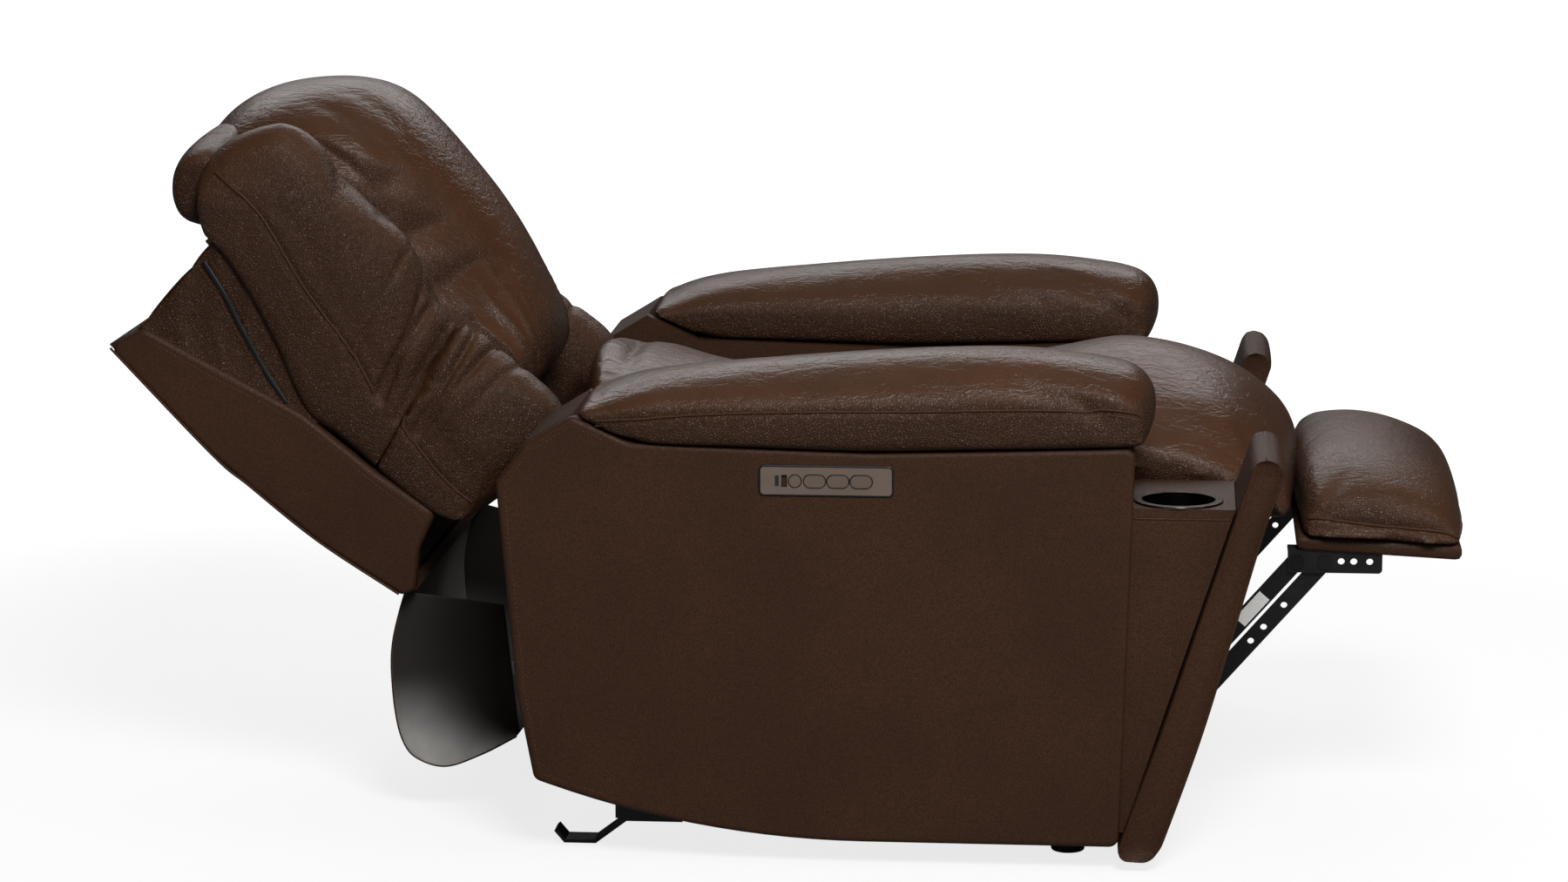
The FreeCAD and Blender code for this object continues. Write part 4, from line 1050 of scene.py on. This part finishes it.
# %% Shell sides
shell = [(868, 279, 10), (968, 343, 30), (1050, 409, 30), (1095, 447, 14), (1220, 578, 12), (1175, 602, 12),
         (984, 500, 60), (896, 430, 60), (824, 381, 12), (845, 336, 30), (851, 284, 10)]
shell_left = panel("shell_side_left_leather", shell, 312, 330, 7, PANEL)
shell_right = mirrored(shell_left)
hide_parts("back_shell_sides")
for piece in (shell_left, shell_right):
    trim(piece, "back")
welt_line = [(870, 281), (968, 345), (1050, 411), (1095, 449), (1216, 577)]
path = metres(at_x(329.6, curve(welt_line, 240)))
trim_both(tube("shell_welt_left", path, facing(1.0, 240), 1.6, WELT), "back")
for name, line in (("shell_stitches_left", [(1168, 592), (1090, 549), (984, 492), (896, 422), (836, 380)]),
                   ("shell_stitches_inner_left", [(1162, 583), (1090, 542), (984, 485), (896, 415),
                                                  (842, 377)])):
    path = metres(at_x(330.1, curve(line, 240)))
    trim_both(stitches(name, path, facing(1.0, 240), 5.2, THREAD, radius=0.38), "back")

# %% [markdown]
# ## Gusset and zip behind the headrest
# A thin leather gusset closes the gap between the headrest and the shell, and stretches as the headrest
# tilts. A zip runs up the middle of its sides.

# %% Gusset


def ruled(lower_line, upper_line, rows, columns, sag):
    """Surface between two lines: lower + t * (upper - lower), drawn in by sag * 4 t (1 - t)."""
    a, b = curve(lower_line, columns), curve(upper_line, columns)
    t = np.linspace(0, 1, rows)[:, None, None]
    grid = a[None] * (1 - t) + b[None] * t
    grid[..., 0] -= (sag * 4 * t * (1 - t))[..., 0] * np.sign(grid[..., 0])
    return grid


shell_line = [(327, 970, 480), (327, 1040, 520), (327, 1100, 554), (326, 1158, 586), (322, 1182, 600)]
head_line = [(322, 958, 506), (322, 990, 562), (322, 1018, 614), (322, 1042, 660), (320, 1084, 712)]
gusset_side = skin("headrest_gusset_left", ruled(shell_line, head_line, 40, 60, 4.0), CUSHION, solid=False)
gusset_rear = skin("headrest_gusset_rear",
                   ruled([(x, 1182, 600) for x in (-322, -160, 0, 160, 322)],
                         [(x, 1084, 712) for x in (-320, -160, 0, 160, 320)], 40, 90, 0.0),
                   CUSHION, solid=False)
for piece in (gusset_side, gusset_rear):
    ripple(piece, lambda x, y, z: fade(z, 505, 560) * 0.8,
           lambda x, y, z: 2 * np.pi * (y * 0.8 + x * 0.15 + 5 * np.sin(z / 17)) / 34, 1.6)
    thickened(piece, 1.5)
    grain_by_slope(piece, low=0.5)
zip_line = [(325, 1004, 512), (323, 1030, 552), (322.5, 1056, 600), (322.5, 1078, 644), (321, 1102, 682)]
path, outward = metres(curve(zip_line, 200)), facing(1.0, 200)
pieces = [gusset_side,
          tube("gusset_zip_left", path, outward, 3.2, FINISHES["black_plastic"], flat=0.35),
          stitches("gusset_zip_teeth_left", path, outward, 2.4, FINISHES["pin_steel"], length=0.5,
                   radius=1.4),
          stitches("gusset_stitches_front_left", path, outward, 5.0, THREAD, side=-8.0),
          stitches("gusset_stitches_rear_left", path, outward, 5.0, THREAD, side=8.0)]
pieces += [mirrored(piece) for piece in pieces]
for piece in pieces + [gusset_rear]:
    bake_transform(piece)
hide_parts("headrest_gusset")
print("Gusset and zip:", len(pieces) + 1, "pieces")

# %% [markdown]
# ## Hanging flap
# Under the back hangs a leather flap lined with grey cloth. It covers the motors when the
# chair is closed and curls forwards at its hem when the back is down.

# %% Flap
ROWS, COLUMNS = 110, 120
flap_line = curve([(868, 277), (876, 250), (884, 215), (886, 180), (882, 130), (873, 92), (856, 70),
                   (820, 60), (775, 76), (734, 98)], ROWS)
x = np.linspace(-295, 295, COLUMNS)
grid = np.zeros((ROWS, COLUMNS, 3))
grid[..., 0] = x[None]
grid[..., 1:] = flap_line[:, None]
grid[..., 1] += 3.0 * np.sin(x / 70 + 0.6)[None] * fade(np.arange(ROWS), 10, 100)[:, None]
flap = skin("hanging_flap", grid, WRAP, solid=False)
flap.data.materials.append(SHADED)
# Painted shade: the lining darkens towards its top, under the chair, where shade falls.
attribute(flap, "shade", 0.50 * fade(grid[..., 2], 62, 250))
thickened(flap, 2.0, lining=1)
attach(flap, "skirt")
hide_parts("rear_skirt")

# The flap's sides turn inwards as soft returns of the same lining, which close the view of the motors from
# the side. Their lining carries painted shade: grey at the flap, darkening to near black towards the frame
# and towards the top, inside the chair where shade falls.
edge = at_x(294.0, flap_line)
inner = at_x(262.0, np.column_stack([np.linspace(752, 735, ROWS), np.linspace(256, 99, ROWS)]))
t = np.linspace(0, 1, 40)[:, None, None]
grid = edge[None] * (1 - t) + inner[None] * t
grid[..., 0] -= 22 * np.sin(np.pi * t[..., 0]) * np.sin(np.pi * np.linspace(0, 1, ROWS))[None]
return_left = skin("flap_return_left", grid, SHADED, solid=False)
# Painted shade, deeper towards the frame and towards the top.
attribute(return_left, "shade",
          1 - (1 - fade(t[..., 0], 0.05, 0.7)) * (1 - 0.97 * fade(grid[..., 2], 70, 180)))
thickened(return_left, 1.2)
for piece in (return_left, mirrored(return_left)):
    trim(piece, "skirt")

# %% [markdown]
# ## Seams on the cup blocks
# The cup block is a wrapped box between post and arm; a lap seam with a stitch row crosses
# its outer side just under the top.

# %% Cup block seams
path, outward = metres(at_x(488.1, curve([(-14, 418), (-70, 418), (-124, 418)], 60))), facing(1.0, 60)
for piece in (tube("cup_block_seam_left", path, outward, 1.1, WELT, flat=0.8),
              stitches("cup_block_stitches_left", path, outward, 5.0, THREAD, side=-4.0, radius=0.35)):
    trim_both(piece, "base")
print("Cup block seams, mm long:", round((path[0] - path[-1])[1] * 1000))

# %% [markdown]
# ## Gaps round the buttons
# Round every control and round the whole plate, the gap reads as a thin black line of shade. Each line is
# painted shade: a flattened black cord along the control's own outline.

# %% Painted shade in the gaps
GAP_SHADE, PLATE_REACH, PLATE_RISE, PLATE_CORNER = 0.85, 76.6, 16.6, 4.5


def capsule(length, height, y, z, count=72):
    """Closed outline with round ends: half circles of radius height / 2 about the two end centres."""
    a = np.linspace(0, 2 * np.pi, count)
    r, reach = height / 2, (length - height) / 2
    return np.column_stack([y + r * np.cos(a) + reach * np.sign(np.cos(a)) * (np.abs(np.cos(a)) > 1e-9),
                            z + r * np.sin(a)])


low_corner, high_corner = (np.array(v) * 1000 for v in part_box("control_plate"))
middle_y, middle_z = (low_corner + high_corner)[1:] / 2 + (ORIGIN_STATION, 0)
plate_line = rounded([(middle_y + u * PLATE_REACH, middle_z + v * PLATE_RISE, PLATE_CORNER)
                      for u, v in ((-1, -1), (1, -1), (1, 1), (-1, 1))], 2.0)
outlines = {"plate": (np.vstack([plate_line, plate_line[:1]]), -500.8, 1.9)}
for name in ("lumbar", "headrest", "recline", "home"):
    lo, hi = (np.array(v) * 1000 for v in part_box(f"{name}_button"))
    y, z = (lo + hi)[1:] / 2 + (ORIGIN_STATION, 0)
    length, height = (hi - lo)[1:] + GAP_SHADE
    print(name, "button, mm:", (hi - lo).round(2))
    outlines[name] = (capsule(length, height, y, z), low_corner[0] - 0.45, GAP_SHADE)
for name, (outline, x, radius) in outlines.items():
    path = metres(at_x(x, evenly(outline, 160)))
    # Painted shade: a black cord where the gap's shade falls.
    gap_shade = tube(f"{name}_bezel", path, facing(-1.0, 160), radius, FINISHES["black_plastic"], flat=0.35)
    trim(gap_shade, "base")

# %% [markdown]
# ## Floor, light and camera
# A plain pale floor, a strong soft light high on the camera's side, weaker ones overhead and
# in front, and one that washes the floor beyond the chair. The camera stands to the sitter's
# right, a little in front and above.

# %% Floor
floor_grid = np.zeros((2, 2, 3))
floor_grid[..., 0] = np.array([-14, 40])[:, None] * 1000
floor_grid[..., 1] = np.array([-14, 14])[None] * 1000
floor_grid[..., 2] = -0.6
paint = finish("floor_paint", (0.34, 0.34, 0.34), 0.8, spread=0.01, relief=0.02)
floor = skin("floor", floor_grid, paint, solid=False)
print("Floor: 54 by 28 m, 0.6 mm under the glides")

# The paper floor is over-exposed in the studio: what the camera sees of it is lifted towards
# white, while the light that it sends back to the chair stays as it is.
tree = paint.node_tree
ground = tree.nodes.new("ShaderNodeTexCoord").outputs["Object"]
away = node(tree, "ShaderNodeVectorMath", {0: ground}, operation="LENGTH").outputs["Value"]
lift = maths(tree, "MULTIPLY", tree.nodes.new("ShaderNodeLightPath").outputs["Is Camera Ray"],
             ramp(tree, away, 1.3, 3.2, 0.80, 1.05))
tree.links.new(lift, tree.nodes["Principled BSDF"].inputs["Emission Strength"])
tree.nodes["Principled BSDF"].inputs["Emission Color"].default_value = (1.0, 1.0, 1.0, 1.0)

# %% Lights and surround


def soft_light(name, at, size, power, aim):
    """Rectangular lamp of the given size (metres) and power (watts) that looks at a point."""
    data = bpy.data.lights.new(name, "AREA")
    data.shape, data.size, data.size_y, data.energy = "RECTANGLE", size[0], size[1], power
    lamp = bpy.data.objects.new(name, data)
    bpy.context.scene.collection.objects.link(lamp)
    lamp.location = at
    direction = Vector(aim) - Vector(at)
    lamp.rotation_euler = direction.to_track_quat("-Z", "Y").to_euler()
    print(name, power, "W at", tuple(at))


soft_light("overhead", (0.3, -0.2, 3.6), (2.6, 3.0), 7.0, (0, 0, 0.4))
soft_light("camera_side", (-3.6, -0.9, 3.3), (1.4, 1.4), 112.0, (0, -0.1, 0.4))
soft_light("front_fill", (-1.6, -4.4, 2.4), (1.6, 1.6), 22.0, (0, -0.3, 0.4))
soft_light("background_wash", (5.6, 0.6, 4.0), (6.0, 2.4), 105.0, (0.0, 0, 0.6))
world = bpy.data.worlds.new("surround")
world.use_nodes = True
world.node_tree.nodes["Background"].inputs["Color"].default_value = (1.0, 1.0, 1.0, 1.0)
world.node_tree.nodes["Background"].inputs["Strength"].default_value = 0.05
bpy.context.scene.world = world
bpy.context.scene.view_settings.view_transform = "Standard"

# %% Camera
camera_data = bpy.data.cameras.new("camera")
camera_data.lens, camera_data.sensor_width = 108.0, 36.0
camera = bpy.data.objects.new("camera", camera_data)
bpy.context.scene.collection.objects.link(camera)
camera.location = (-5.8288, -0.4529, 1.4434)
camera.rotation_euler = Vector((0.9816, 0.0810, -0.1728)).to_track_quat("-Z", "Y").to_euler()
bpy.context.scene.camera = camera
print("Camera to the chair's middle:", round(camera.location.length, 2), "m")

# %% Update the scene
bpy.context.view_layer.update()
